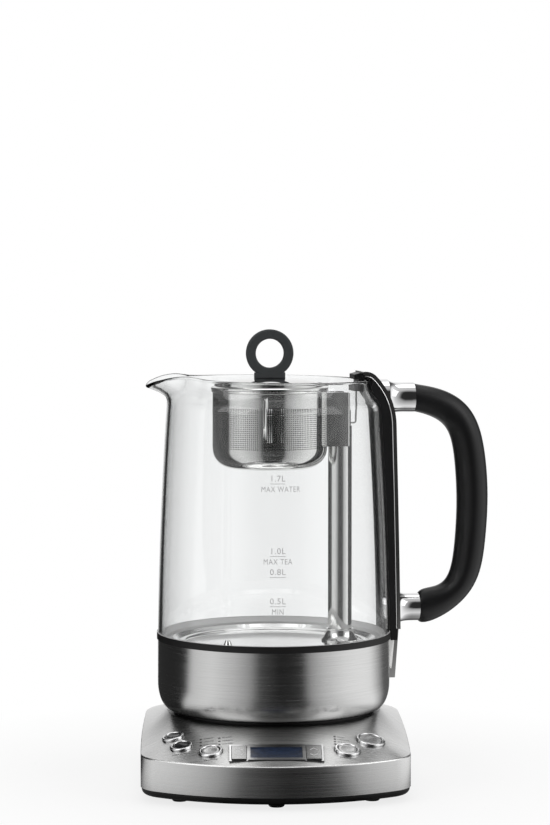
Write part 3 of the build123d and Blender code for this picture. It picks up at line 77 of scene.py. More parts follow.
# Glass body
GLASS_WALL = 2.5 * MM
GLASS_COLUMNS = 288
GLASS_FOOT = 92.4 * MM
FOOT_CLEARANCE = 0.05 * MM              # the foot's radius is read this far above it
NECK_FOOT = 236.0 * MM                  # where the glass starts to narrow or to run out into the beak
NECK_TOP = 255.75 * MM
SIDE_ROWS = 24
NECK_ROWS = 22
LIP_STEPS = 8
BEAK_BEARING = math.pi + JUG_TURN
BEAK_SPREAD = math.radians(32.0)
BEAK_LINE = [                           # share of the neck's height, and the beak's radius and height in mm
    (0.00, 69.35, 236.0), (0.25, 69.0, 240.6), (0.45, 69.3, 244.3), (0.60, 70.8, 246.9),
    (0.75, 74.0, 249.1), (0.88, 78.2, 250.9), (1.00, 82.2, 252.4),
]
RIM_LINE = [                            # degrees from the beak's middle, and height of the rim in mm
    (0.0, 252.4), (9.4, 255.3), (15.6, 257.7), (20.9, 258.8), (26.6, 258.5), (33.0, 257.9), (45.0, 257.2),
    (60.0, 256.8), (90.0, 256.4), (140.0, 255.85), (180.0, 255.75),
]

# Bright edges of the handle's strap
STRAP_PROBE = 12.0 * MM                 # off the middle, where the plate's outer line is read
STRAP_EYE = (30.0 * MM, 150.0 * MM)     # X and Z of a point inside the jug that sees the whole strap
STRAP_SWEEP = (-46.7, 76.2)             # degrees, bearings of the strap's ends from there
STRAP_STEPS = 120
STRAP_INSET = 3.0 * MM
STRAP_SIDE = 14.0 * MM                  # the black backing's side, where the edges run
STRAP_EDGE_R = 0.34 * MM
STRAP_EDGE_SIDES = 8

# Prints
PRINT_LIFT = 0.04 * MM                  # how far a print stands off its surface
PRINT_DEPTH = 0.03 * MM
LETTER_STEPS = 3                        # steps in a letter's curves
MARKS_BEARING = math.radians(-89.0)
MARKS_R = 73.0 * MM                     # radius that turns the marks' widths into bearings
MARK_SPACING = 1.12                     # spacing of the marks' letters
AMOUNT_STYLE = (5.3 * MM, 3.1, 0.98)    # size, rise above the line in mm, and width against the type's own
MEANING_STYLE = (4.9 * MM, -3.5, 0.80)
MARK_LINE = (9.6 * MM, 0.35 * MM)       # width and height
MARK_LINE_CUTS = 24
CAPACITY_MARKS = [                      # line's height in mm, amount, meaning, and the meaning's shift in mm
    (195.5, "1.7L", "MAX WATER", 1.9), (150.5, "1.0L", "MAX TEA", 0.0),
    (137.5, "0.8L", "", 0.0), (119.3, "0.5L", "MIN", 0.0),
]

PANEL_SLOPE = 0.955                     # foreshortening of the panel seen from above
LEGEND_SIZE = 1.9 * MM
LEGEND_SPACING = 1.05
LEGEND_GAP = 1.7 * MM                   # from a lamp to its word
LEGEND_DROP = 10.4 * MM                 # from a button to its word
LAMP_WORDS = [                          # plan place of each lamp in mm, and the word printed beside it
    (-46.6, -77.3, "GREEN"), (-46.6, -81.6, "WHITE"), (-46.6, -85.9, "OOLONG"),
    (-35.1, -79.0, "BLACK"), (-35.1, -83.2, "HERBAL"), (-35.1, -87.4, "WATER"),
    (36.6, -77.0, "MILD"), (36.6, -80.3, "MEDIUM"), (36.6, -83.6, "STRONG"),
]
BUTTON_WORDS = [                        # plan place of each button in mm, and the words printed in front of it
    (-58.6, -83.6, "KEEP WARM"), (-40.4, -96.0, "TEA TYPE"), (43.8, -93.7, "STRENGTH"), (59.0, -75.3, "START"),
]

DISPLAY_ORIGIN = Vector((0.0, -101.8, 32.781)) * MM
DISPLAY_NORMAL = Vector((0.0, -0.3027, 0.9531))
KEY_CENTRE = 22.95 * MM                 # from the display's middle to a key's
KEY_STEP = 0.8 * MM                     # how far a key's front half stands above its rear half
CHEVRON_WIDTH = 4.6 * MM
KEY_CHEVRONS = [                        # name, rise and stroke in mm, place forward in mm, and lift
    ("up", 2.2, 0.75, 4.2, PRINT_LIFT), ("down", -1.8, -0.75, -3.4, KEY_STEP + PRINT_LIFT),
]


# ---------------------------------------------------------------------------
# Small makers for shader trees and meshes
# ---------------------------------------------------------------------------

def shader(name, **settings):
    """New material with one Principled shader, whose sockets take the settings."""
    made = bpy.data.materials.new(name)
    made.use_nodes = True
    surface = made.node_tree.nodes["Principled BSDF"]
    for socket, value in settings.items():
        surface.inputs[socket.replace("_", " ").title().replace("Ior", "IOR")].default_value = value
    return made, made.node_tree, surface


def put(tree, kind, sockets=None, **settings):
    """Add a node: settings are its own properties, and sockets take a value or another node's output."""
    node = tree.nodes.new(kind)
    for key, value in settings.items():
        setattr(node, key, value)
    for socket, value in (sockets or {}).items():
        if isinstance(value, bpy.types.NodeSocket):
            tree.links.new(value, node.inputs[socket])
        else:
            node.inputs[socket].default_value = value
    return node


def ramp(tree, source, stops):
    """Colour ramp from a list of (place, grey or colour)."""
    node = put(tree, "ShaderNodeValToRGB", {"Fac": source})
    band = node.color_ramp
    while len(band.elements) < len(stops):
        band.elements.new(1.0)
    for element, (place, tone) in zip(band.elements, stops):
        element.position = place
        element.color = (*tone, 1.0) if isinstance(tone, tuple) else (tone, tone, tone, 1.0)
    return node.outputs["Color"]


def shaded(tone, share):
    """Colour with each of its parts times a share."""
    return tuple(share * part for part in tone)


def maths(tree, operation, first, second=0.0, third=0.0):
    """Math node's output."""
    return put(tree, "ShaderNodeMath", {0: first, 1: second, 2: third}, operation=operation).outputs[0]


def spread(tree, source, low, high, first, last):
    """Value that runs from first to last while the source runs from low to high."""
    return put(tree, "ShaderNodeMapRange", {0: source, 1: low, 2: high, 3: first, 4: last}).outputs[0]


def mixed_value(tree, share, first, second):
    """Number between two numbers."""
    return put(tree, "ShaderNodeMix", {0: share, 2: first, 3: second}).outputs[0]


def mixed_colour(tree, share, first, second, blend="MIX"):
    """Colour mixed of two colours."""
    mix = put(tree, "ShaderNodeMix", {0: share, 6: first, 7: second}, data_type="RGBA", blend_type=blend)
    return mix.outputs[2]


def combined(tree, x=0.0, y=0.0, z=0.0):
    """Vector of three numbers."""
    return put(tree, "ShaderNodeCombineXYZ", {0: x, 1: y, 2: z}).outputs[0]


def parted(tree, vector):
    """The three numbers of a vector."""
    return put(tree, "ShaderNodeSeparateXYZ", {0: vector}).outputs


def length(tree, vector):
    """Length of a vector."""
    return put(tree, "ShaderNodeVectorMath", {0: vector}, operation="LENGTH").outputs["Value"]


def object_place(tree):
    """Object coordinates."""
    return put(tree, "ShaderNodeTexCoord").outputs["Object"]


def grain(tree, vector, scale, detail):
    """Noise texture's factor."""
    return put(tree, "ShaderNodeTexNoise", {"Vector": vector, "Scale": scale, "Detail": detail}).outputs["Fac"]


def bump(tree, surface, height, strength, distance):
    """Fine relief on a surface."""
    relief = put(tree, "ShaderNodeBump", {"Height": height, "Strength": strength, "Distance": distance})
    tree.links.new(relief.outputs["Normal"], surface.inputs["Normal"])


def finish_node(node_name, material):
    """Give a CAD node its material."""
    mesh = nodes[node_name].data
    mesh.materials.clear()
    mesh.materials.append(material)


def mesh_piece(name, form, material, crease=35.0):
    """Object made of a bmesh, smooth but for its creases."""
    mesh = bpy.data.meshes.new(name)
    form.to_mesh(mesh)
    form.free()
    mesh.materials.append(material)
    mesh.shade_smooth()
    mesh.set_sharp_from_angle(angle=math.radians(crease))
    piece = bpy.data.objects.new(name, mesh)
    bpy.context.scene.collection.objects.link(piece)
    return piece


def plain_mesh(piece, name):
    """Turn an object with modifiers or a curve into a plain mesh object in its place."""
    bpy.context.view_layer.update()
    graph = bpy.context.evaluated_depsgraph_get()
    mesh = bpy.data.meshes.new_from_object(piece.evaluated_get(graph), depsgraph=graph)
    mesh.transform(piece.matrix_world)
    mesh.name = name
    made = bpy.data.objects.new(name, mesh)
    bpy.context.scene.collection.objects.link(made)
    bpy.data.objects.remove(piece)
    return made


def join_loops(form, here, there):
    """Faces between two closed loops of as many corners."""
    for spot in range(len(here)):
        after = (spot + 1) % len(here)
        form.faces.new((here[spot], there[spot], there[after], here[after]))


def lathe(form, outline, centre, steps, start=0.0, sweep=TURN):
    """Turn a closed outline of (radius, height) about an upright axis, with ends where it isn't full."""
    whole = math.isclose(sweep, TURN)
    loops = []
    for station in range(steps if whole else steps + 1):
        angle = start + sweep * station / steps
        across, along = math.cos(angle), math.sin(angle)
        loops.append([
            form.verts.new((centre[0] + radius * across, centre[1] + radius * along, height))
            for radius, height in outline
        ])
    for station in range(steps):
        join_loops(form, loops[station], loops[(station + 1) % len(loops)])
    if not whole:
        form.faces.new(loops[0])
        form.faces.new(loops[-1][::-1])


def search_tree(mesh):
    """Search tree of a mesh's faces."""
    corners = [vertex.co.copy() for vertex in mesh.vertices]
    return BVHTree.FromPolygons(corners, [list(face.vertices) for face in mesh.polygons])


def surface_of(node_name):
    """Search tree of a CAD node's faces."""
    return search_tree(nodes[node_name].data)


def smooth_between(stops, value, level_ends=False):
    """Cubic through a table of (place, value) rows, read at a place, and level at its ends if asked for."""
    places = [stop[0] for stop in stops]
    last = len(stops) - 1
    spot = max(0, min(last - 1, sum(place <= value for place in places) - 1))
    slopes = []
    for index in (spot, spot + 1):
        before, after = max(index - 1, 0), min(index + 1, last)
        slope = (stops[after][1] - stops[before][1]) / (places[after] - places[before])
        slopes.append(0.0 if level_ends and index in (0, last) else slope)
    width = places[spot + 1] - places[spot]
    share = (value - places[spot]) / width
    low, high = stops[spot][1], stops[spot + 1][1]
    return (
        (2 * share**3 - 3 * share**2 + 1) * low + (share**3 - 2 * share**2 + share) * width * slopes[0]
        + (3 * share**2 - 2 * share**3) * high + (share**3 - share**2) * width * slopes[1]
    )


# ---------------------------------------------------------------------------
# Finishes
# ---------------------------------------------------------------------------

BRUSH_LINES = 2400.0                    # brushed lines in a metre
BRUSH_SHELL = 1.6                       # how the noise of the lines runs on, for each radian round the shell
BRUSH_INWARDS = 900.0                   # the same for each metre away from the axis
BRUSH_SKIRT = 1.08                      # the same for each radian round the base's skirt
BRUSH_TOP = 3.6                         # the same for each metre across its top
LYING_NORMAL = 0.6                      # a face whose normal rises more than this lies flat
PAINTED_SHADE_REACH = 40.0 * MM                  # painted shade: a lying face's colour is darkened by what stands this close
PAINTED_SHADE_STOPS = [(0.25, 0.12), (0.55, 0.36), (0.92, 1.0)]  # tone of that painted shade by how open the face lies
GLASS_EDGE_SHADE_STOPS = [                    # tone of the glass by how far it turns away from the eye: partly its tint over the longer path, partly painted shade for the dark edges that refraction shows
    (0.0, 1.0), (0.62, 0.97), (0.86, 0.78), (0.97, 0.34), (1.0, 0.22),
]
GLASS_PASSES = 0.9                      # share of light and shadow rays that pass straight through the glass
DISPLAY_DOT = 0.62 * MM                 # pitch of the display's dots


def brushed_steel(name, tone, roughness, flat_top):
    """Steel brushed in fine lines round the upright axis and straight across a flat top, which gets painted
    shade.
    """
    made, tree, surface = shader(name, metallic=1.0, anisotropic=0.5, anisotropic_rotation=0.25)
    tangent = put(tree, "ShaderNodeTangent", direction_type="RADIAL", axis="Z")
    tree.links.new(tangent.outputs[0], surface.inputs["Tangent"])
    place = object_place(tree)
    x, y, z = parted(tree, place)
    angle = maths(tree, "ARCTAN2", y, x)
    if flat_top:
        normal = put(tree, "ShaderNodeNewGeometry").outputs["Normal"]
        lying = maths(tree, "GREATER_THAN", parted(tree, normal)[2], LYING_NORMAL)
        round_skirt = maths(tree, "MULTIPLY", angle, BRUSH_SKIRT)
        along = mixed_value(tree, lying, round_skirt, maths(tree, "MULTIPLY", x, BRUSH_TOP))
        over = mixed_value(tree, lying, z, y)
        lines = combined(tree, along, maths(tree, "MULTIPLY", over, BRUSH_LINES))
    else:
        lines = combined(
            tree, maths(tree, "MULTIPLY", angle, BRUSH_SHELL), maths(tree, "MULTIPLY", z, BRUSH_LINES),
            maths(tree, "MULTIPLY", length(tree, place), BRUSH_INWARDS),
        )
    fine = grain(tree, lines, scale=1.0, detail=4.0)
    broad = grain(tree, place, scale=14.0, detail=2.0)
    colour = ramp(tree, mixed_value(tree, 0.3, fine, broad), [(0.30, shaded(tone, 0.86)), (0.70, tone)])
    if flat_top:
        # painted shade: ambient occlusion darkens the colour of lying faces near what stands on or over them
        painted_shade_openness = put(tree, "ShaderNodeAmbientOcclusion", {"Distance": PAINTED_SHADE_REACH}, samples=6).outputs["AO"]
        colour = mixed_colour(tree, lying, colour, ramp(tree, painted_shade_openness, PAINTED_SHADE_STOPS), "MULTIPLY")
    tree.links.new(colour, surface.inputs["Base Color"])
    rough = spread(tree, fine, 0.3, 0.7, roughness - 0.05, roughness + 0.06)
    tree.links.new(rough, surface.inputs["Roughness"])
    bump(tree, surface, fine, strength=0.12, distance=0.02 * MM)
    return made


def polished_metal(name, tone, roughness, smudge=0.03):
    """Bright metal with faint wipe marks."""
    made, tree, surface = shader(name, metallic=1.0)
    place = object_place(tree)
    wipes = grain(tree, place, scale=60.0, detail=3.0)
    specks = grain(tree, place, scale=900.0, detail=2.0)
    tree.links.new(spread(tree, wipes, 0.35, 0.7, roughness, roughness + smudge), surface.inputs["Roughness"])
    colour = ramp(tree, wipes, [(0.3, tone), (0.75, shaded(tone, 0.95))])
    tree.links.new(colour, surface.inputs["Base Color"])
    bump(tree, surface, specks, strength=0.03, distance=0.01 * MM)
    return made


def moulded(name, tone, roughness, grain_size, relief=0.25, lighter=1.5, **settings):
    """Moulded plastic or rubber, or cast metal, with a fine grain."""
    made, tree, surface = shader(name, **settings)
    place = object_place(tree)
    texture = grain(tree, place, scale=1.0 / grain_size, detail=4.0)
    cloud = grain(tree, place, scale=22.0, detail=2.0)
    colour = ramp(tree, cloud, [(0.35, tone), (0.75, shaded(tone, lighter))])
    tree.links.new(colour, surface.inputs["Base Color"])
    rough = spread(tree, texture, 0.3, 0.7, roughness - 0.05, roughness + 0.07)
    tree.links.new(rough, surface.inputs["Roughness"])
    bump(tree, surface, texture, strength=relief, distance=0.03 * MM)
    return made


def clear_glass(name):
    """Clear borosilicate glass that lets the studio's light through to what stands in it."""
    made, tree, surface = shader(name, metallic=0.0, ior=1.47, roughness=0.0, transmission_weight=1.0)
    cloud = grain(tree, object_place(tree), scale=6.0, detail=1.0)
    tint = ramp(tree, cloud, [(0.3, (0.965, 0.972, 0.972)), (0.7, (0.985, 0.99, 0.99))])
    # painted shade: the colour darkens towards the glass's outline as it turns away from the eye
    facing = put(tree, "ShaderNodeLayerWeight", {"Blend": 0.5}).outputs["Facing"]
    shade = mixed_colour(tree, 1.0, tint, ramp(tree, facing, GLASS_EDGE_SHADE_STOPS), "MULTIPLY")
    tree.links.new(shade, surface.inputs["Base Color"])
    rays = put(tree, "ShaderNodeLightPath").outputs
    lit_through = maths(tree, "MAXIMUM", rays["Is Shadow Ray"], rays["Is Diffuse Ray"])
    tree.links.new(maths(tree, "MULTIPLY_ADD", lit_through, -GLASS_PASSES, 1.0), surface.inputs["Alpha"])
    return made


def two_shot_seal(name, parting_r):
    """Seam ring moulded in two shots: black outside a radius, pale silicone inside it."""
    made, tree, surface = shader(name, roughness=0.5, specular_ior_level=0.35)
    place = object_place(tree)
    parts = parted(tree, place)
    outside = maths(tree, "GREATER_THAN", length(tree, combined(tree, parts[0], parts[1])), parting_r)
    texture = grain(tree, place, scale=3000.0, detail=3.0)
    pale = ramp(tree, texture, [(0.3, 0.66), (0.7, 0.74)])
    colour = mixed_colour(tree, outside, pale, (0.008, 0.008, 0.008, 1.0))
    tree.links.new(colour, surface.inputs["Base Color"])
    bump(tree, surface, texture, strength=0.25, distance=0.03 * MM)
    return made


def display_glass(name):
    """Dark blue display: rows of fine dots under a clear window, and a faint painted glow though it is not lit.
    """
    made, tree, surface = shader(
        name, roughness=0.12, coat_weight=1.0, coat_roughness=0.03, emission_strength=0.15,
    )
    place = object_place(tree)
    density = TURN / DISPLAY_DOT
    column, row = [
        maths(tree, "SINE", maths(tree, "MULTIPLY", part, density)) for part in parted(tree, place)[:2]
    ]
    dots = maths(tree, "MULTIPLY", maths(tree, "MULTIPLY", column, row), 0.10)
    mottle = maths(tree, "ADD", dots, grain(tree, place, scale=320.0, detail=2.0))
    colour = ramp(tree, mottle, [(0.30, (0.006, 0.011, 0.026)), (0.62, (0.016, 0.028, 0.062))])
    tree.links.new(colour, surface.inputs["Base Color"])
    # painted glow: the unlit display gives off its own colour as light
    tree.links.new(colour, surface.inputs["Emission Color"])
    return made


def circuit_board(name):
    """Green board with copper tracks under its mask."""
    made, tree, surface = shader(name, roughness=0.4)
    tracks = put(tree, "ShaderNodeTexBrick", {
        "Vector": object_place(tree), "Scale": 260.0, "Mortar Size": 0.03,
        "Color1": (0.012, 0.085, 0.03, 1), "Color2": (0.02, 0.11, 0.04, 1), "Mortar": (0.05, 0.2, 0.08, 1),
    })
    tree.links.new(tracks.outputs["Color"], surface.inputs["Base Color"])
    bump(tree, surface, tracks.outputs["Fac"], strength=0.2, distance=0.05 * MM)
    return made


def print_ink(name, tone, roughness=0.5):
    """Printed ink, a little uneven."""
    made, tree, surface = shader(name, roughness=roughness)
    cloud = grain(tree, object_place(tree), scale=1500.0, detail=2.0)
    tree.links.new(ramp(tree, cloud, [(0.3, shaded(tone, 0.9)), (0.7, tone)]), surface.inputs["Base Color"])
    return made


# After the name: colour and roughness, then the smudge of polished metal, or the grain size, the relief and the
# lighter patches of what is moulded
shell_steel = brushed_steel("brushed_shell_steel", (0.74, 0.74, 0.735), 0.215, flat_top=False)
cover_steel = brushed_steel("brushed_cover_steel", (0.80, 0.80, 0.795), 0.275, flat_top=True)
polished_steel = polished_metal("polished_steel", (0.80, 0.80, 0.79), 0.06)
floor_steel = polished_metal("drawn_floor_steel", (0.90, 0.90, 0.895), 0.08, 0.05)
bright_chrome = polished_metal("bright_chrome", (0.86, 0.86, 0.865), 0.03, 0.02)
satin_silver = polished_metal("satin_button_silver", (0.72, 0.72, 0.72), 0.22, 0.05)
black_handle = moulded(
    "black_handle_plastic", (0.006, 0.006, 0.0065), 0.36, 0.35 * MM, 0.30, specular_ior_level=0.38,
)
black_tray = moulded("black_tray_plastic", (0.006, 0.006, 0.006), 0.40, 0.5 * MM, 0.4, specular_ior_level=0.35)
black_gloss = moulded("black_gloss_plastic", (0.008, 0.008, 0.009), 0.16, 1.2 * MM, 0.04, coat_weight=0.4)
key_silver = polished_metal("key_silver", (0.56, 0.56, 0.56), 0.20, 0.05)
black_rubber = moulded("black_rubber", (0.008, 0.008, 0.008), 0.55, 0.3 * MM, 0.3, specular_ior_level=0.35)
seam_rubber = two_shot_seal("two_shot_seam_rubber", parting_r=75.3 * MM)
ring_rubber = moulded("grey_ring_rubber", (0.036, 0.040, 0.042), 0.58, 0.3 * MM, 0.3, 1.2)
cap_plastic = moulded("grey_cap_plastic", (0.19, 0.19, 0.195), 0.45, 0.4 * MM, 0.2, 1.15)
jug_glass = clear_glass("clear_jug_glass")
blue_display = display_glass("blue_display")
lamp_lens = moulded("smoked_lamp_lens", (0.012, 0.009, 0.009), 0.12, 0.5 * MM, 0.02, coat_weight=0.6)
green_board = circuit_board("green_circuit_board")
black_component = moulded("black_component", (0.012, 0.012, 0.012), 0.5, 0.4 * MM)
zinc_steel = polished_metal("zinc_plated_steel", (0.55, 0.55, 0.56), 0.3, 0.1)
cast_metal = moulded("cast_aluminium", (0.50, 0.50, 0.51), 0.42, 0.6 * MM, 0.5, 1.15, metallic=1.0)
brass = polished_metal("contact_brass", (0.78, 0.58, 0.26), 0.2, 0.08)
pale_plastic = moulded("pale_carriage_plastic", (0.60, 0.60, 0.57), 0.4, 0.5 * MM, 0.1, 1.05)
nickel = polished_metal("magnet_nickel", (0.62, 0.60, 0.55), 0.18, 0.06)
glass_ink = print_ink("glass_mark_ink", (0.56, 0.56, 0.56))
panel_ink = print_ink("panel_legend_ink", (0.055, 0.055, 0.055))
white_ink = print_ink("key_mark_ink", (0.82, 0.82, 0.82), 0.35)

FINISHES = {
    shell_steel: ["jug_shell"],
    cover_steel: ["base_cover"],
    floor_steel: ["jug_floor"],
    polished_steel: [
        "post_tube", "post_foot", "post_stay", "basket_saddle", "basket_lid", "handle_plate",
        "temperature_sensor", "post_nut", "lead_screw", "tea_basket",
    ],
    bright_chrome: ["button_bezels", "upper_ferrule", "lower_ferrule", "display_frame"],
    satin_silver: ["tea_type_button", "strength_button", "start_button"],
    key_silver: ["temperature_key", "time_key"],
    black_gloss: ["power_button", "keep_warm_button"],
    black_handle: ["handle_grip", "handle_backing", "rim_clip"],
    black_tray: [
        "base_tray", "base_seat", "jug_bottom", "jug_plug", "display_module", "key_carrier", "screw_bushes",
        "cord_gland",
    ],
    black_rubber: ["rubber_feet", "key_domes"],
    seam_rubber: ["seam_gasket"],
    ring_rubber: ["ring_handle"],
    cap_plastic: ["post_cap"],
    jug_glass: ["glass_jug"],
    blue_display: ["display_window"],
    lamp_lens: ["indicator_lamps"],
    green_board: ["switch_boards", "control_board", "supply_board"],
    black_component: ["button_switches", "supply_parts"],
    zinc_steel: ["base_screws", "handle_bolt", "motor_bracket"],
    cast_metal: ["heater_plate", "heating_element", "lift_motor"],
    brass: ["socket_contacts"],
    pale_plastic: ["lift_carriage"],
    nickel: ["carriage_magnets", "saddle_magnets"],
}
for material, names in FINISHES.items():
    for name in names:
        finish_node(name, material)


# ---------------------------------------------------------------------------
# Tea basket: plain bowl, rim band and strips, and perforated panels between them
# ---------------------------------------------------------------------------

def arc_points(centre, radius, start, end, steps):
    """Points of an arc in the outline's plane, from a start to an end in degrees."""
    angles = [math.radians(start + (end - start) * step / steps) for step in range(steps + 1)]
    return [(centre[0] + radius * math.cos(angle), centre[1] + radius * math.sin(angle)) for angle in angles]


def strip_start(panel):
    """Bearing at which the plain strip before a panel starts."""
    return FIRST_STRIP + TURN * panel / PANELS


def basket_shell():
    """Bowl below the sieve, band and rolled rim above it, and the plain strips between the panels."""
    form = bmesh.new()
    bend_centre = (BASKET_R - BASKET_BEND, BASKET_BOTTOM + BASKET_BEND)
    inner_r = BASKET_R - BASKET_WALL
    bowl = [(0.0, BASKET_BOTTOM)]
    bowl += arc_points(bend_centre, BASKET_BEND, -90, 0, BEND_STEPS)
    bowl += [(BASKET_R, SIEVE_BOTTOM), (inner_r, SIEVE_BOTTOM)]
    bowl += arc_points(bend_centre, BASKET_BEND - BASKET_WALL, 0, -90, BEND_STEPS)
    bowl += [(0.0, BASKET_BOTTOM + BASKET_WALL)]
    lathe(form, bowl, BASKET_CENTRE, HOLE_COLUMNS)
    band = [(BASKET_R, SIEVE_TOP)]
    band += arc_points((BASKET_R, BASKET_RIM - BASKET_ROLL), BASKET_ROLL, -90, 90, ROLL_STEPS)
    band += [(inner_r, BASKET_RIM), (inner_r, SIEVE_TOP)]
    lathe(form, band, BASKET_CENTRE, HOLE_COLUMNS)
    strip = [(inner_r, SIEVE_BOTTOM), (BASKET_R, SIEVE_BOTTOM), (BASKET_R, SIEVE_TOP), (inner_r, SIEVE_TOP)]
    for panel in range(PANELS):
        lathe(form, strip, BASKET_CENTRE, STRIP_COLUMNS, strip_start(panel), STRIP_SWEEP)
    bmesh.ops.remove_doubles(form, verts=form.verts, dist=TURNED_MERGE)
    bmesh.ops.dissolve_degenerate(form, edges=form.edges, dist=SPECK)
    return form


def hole_tile():
    """One square of sieve sheet with its hole, lying in X and Z with its outer face at Y = 0."""
    form = bmesh.new()
    half = HOLE_PITCH / 2
    square = [(-half, -half), (half, -half), (half, half), (-half, half)]
    angles = [HOLE_START + TURN * side / HOLE_SIDES for side in range(HOLE_SIDES)]
    holes = []
    for depth in (0.0, BASKET_WALL):
        corners = [form.verts.new((x, depth, z)) for x, z in square]
        hole = [form.verts.new((HOLE_R * math.cos(angle), depth, HOLE_R * math.sin(angle))) for angle in angles]
        for corner in range(4):
            after = (corner + 1) % 4
            middle = hole[2 * corner + 1]
            form.faces.new((corners[corner], corners[after], middle))
            form.faces.new((corners[corner], middle, hole[2 * corner]))
            form.faces.new((corners[after], hole[2 * after], middle))
        holes.append(hole)
    outer, inner = holes
    join_loops(form, inner, outer)
    return form


def sieve_tree(material):
    """Geometry nodes: repeat the sieve tile in rows and columns and bend the sheet round the basket."""
    tree = bpy.data.node_groups.new("sieve_panels", "GeometryNodeTree")
    sizes = {
        "Columns": ("NodeSocketInt", HOLE_COLUMNS // PANELS - STRIP_COLUMNS),
        "Rows": ("NodeSocketInt", HOLE_ROWS),
        "Pitch": ("NodeSocketFloat", HOLE_PITCH), "Radius": ("NodeSocketFloat", BASKET_R),
        "Bottom": ("NodeSocketFloat", SIEVE_BOTTOM), "Start": ("NodeSocketFloat", 0.0),
    }
    tree.interface.new_socket("Tile", in_out="INPUT", socket_type="NodeSocketGeometry")
    for label, (kind, value) in sizes.items():
        tree.interface.new_socket(label, in_out="INPUT", socket_type=kind).default_value = value
    tree.interface.new_socket("Sheet", in_out="OUTPUT", socket_type="NodeSocketGeometry")
    given = put(tree, "NodeGroupInput").outputs

    # Grid of points, stood upright with its first tile's corner at the origin
    width = maths(tree, "MULTIPLY", maths(tree, "SUBTRACT", given["Columns"], 1.0), given["Pitch"])
    height = maths(tree, "MULTIPLY", maths(tree, "SUBTRACT", given["Rows"], 1.0), given["Pitch"])
    grid = put(tree, "GeometryNodeMeshGrid", {
        "Size X": width, "Size Y": height, "Vertices X": given["Columns"], "Vertices Y": given["Rows"],
    }).outputs["Mesh"]
    flat_place = parted(tree, put(tree, "GeometryNodeInputPosition").outputs[0])
    half_width = maths(tree, "DIVIDE", maths(tree, "ADD", width, given["Pitch"]), 2.0)
    half_height = maths(tree, "DIVIDE", maths(tree, "ADD", height, given["Pitch"]), 2.0)
    upright = combined(
        tree, x=maths(tree, "ADD", flat_place[0], half_width), z=maths(tree, "ADD", flat_place[1], half_height),
    )
    stood = put(tree, "GeometryNodeSetPosition", {"Geometry": grid, "Position": upright}).outputs[0]
    spots = put(tree, "GeometryNodeInstanceOnPoints", {"Points": stood, "Instance": given["Tile"]}).outputs[0]
    sheet = put(tree, "GeometryNodeRealizeInstances", {0: spots}).outputs[0]

    # The flat sheet of tiles, rolled round the upright axis
    x, y, z = parted(tree, put(tree, "GeometryNodeInputPosition").outputs[0])
    angle = maths(tree, "ADD", maths(tree, "DIVIDE", x, given["Radius"]), given["Start"])
    reach = maths(tree, "SUBTRACT", given["Radius"], y)
    bent = combined(
        tree, maths(tree, "MULTIPLY", reach, maths(tree, "COSINE", angle)),
        maths(tree, "MULTIPLY", reach, maths(tree, "SINE", angle)), maths(tree, "ADD", z, given["Bottom"]),
    )
    rolled = put(tree, "GeometryNodeSetPosition", {"Geometry": sheet, "Position": bent}).outputs[0]
    merged = put(tree, "GeometryNodeMergeByDistance", {"Geometry": rolled, "Distance": SIEVE_MERGE}).outputs[0]
    finished = put(tree, "GeometryNodeSetMaterial", {"Geometry": merged, "Material": material}).outputs[0]
    put(tree, "NodeGroupOutput", {0: finished})
    return tree


def sieve_panel(tree, start, label):
    """One bent panel of sieve as a plain mesh."""
    panel = mesh_piece(label, hole_tile(), polished_steel)
    modifier = panel.modifiers.new("sieve", "NODES")
    modifier.node_group = tree
    socket = next(item for item in tree.interface.items_tree if item.name == "Start")
    modifier[socket.identifier] = start
    return plain_mesh(panel, label)


def tea_basket():
    """The whole perforated basket as one mesh."""
    tree = sieve_tree(polished_steel)
    form = basket_shell()
    shift = Matrix.Translation((*BASKET_CENTRE, 0.0))
    for panel in range(PANELS):
        sheet = sieve_panel(tree, strip_start(panel) + STRIP_SWEEP, f"sieve_panel_{panel}")
        sheet.data.transform(shift)
        form.from_mesh(sheet.data)
        bpy.data.objects.remove(sheet)
    bmesh.ops.remove_doubles(form, verts=form.verts, dist=SIEVE_MERGE)
    bmesh.ops.recalc_face_normals(form, faces=form.faces)
    basket = mesh_piece("perforated_basket", form, polished_steel, crease=40.0)
    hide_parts("tea_basket")
    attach(basket, "basket")


tea_basket()


# ---------------------------------------------------------------------------
# Glass body: round side with its neck, and a beak drawn out of the rim
# ---------------------------------------------------------------------------

def glass_side_line():
    """Heights and radii of the round side, read from the solid a quarter turn from the beak."""
    solid = surface_of("glass_jug")
    bearing = BEAK_BEARING + TURN / 4
    outwards = Vector((math.cos(bearing), math.sin(bearing), 0.0))
    line = []
    for row in range(SIDE_ROWS + NECK_ROWS + 1):
        if row <= SIDE_ROWS:
            height = GLASS_FOOT + (NECK_FOOT - GLASS_FOOT) * row / SIDE_ROWS
        else:
            height = NECK_FOOT + (NECK_TOP - NECK_FOOT) * (row - SIDE_ROWS) / NECK_ROWS
        level = Vector((0.0, 0.0, max(height, GLASS_FOOT + FOOT_CLEARANCE)))
        hit = solid.ray_cast(level + outwards * OUTSIDE, -outwards)[0]
        line.append((height, math.hypot(hit.x, hit.y)))
    return line


def beak_point(share):
    """Radius and height of the beak's underside at a share of the neck's height."""
    return [smooth_between([(row[0], row[column]) for row in BEAK_LINE], share) * MM for column in (1, 2)]


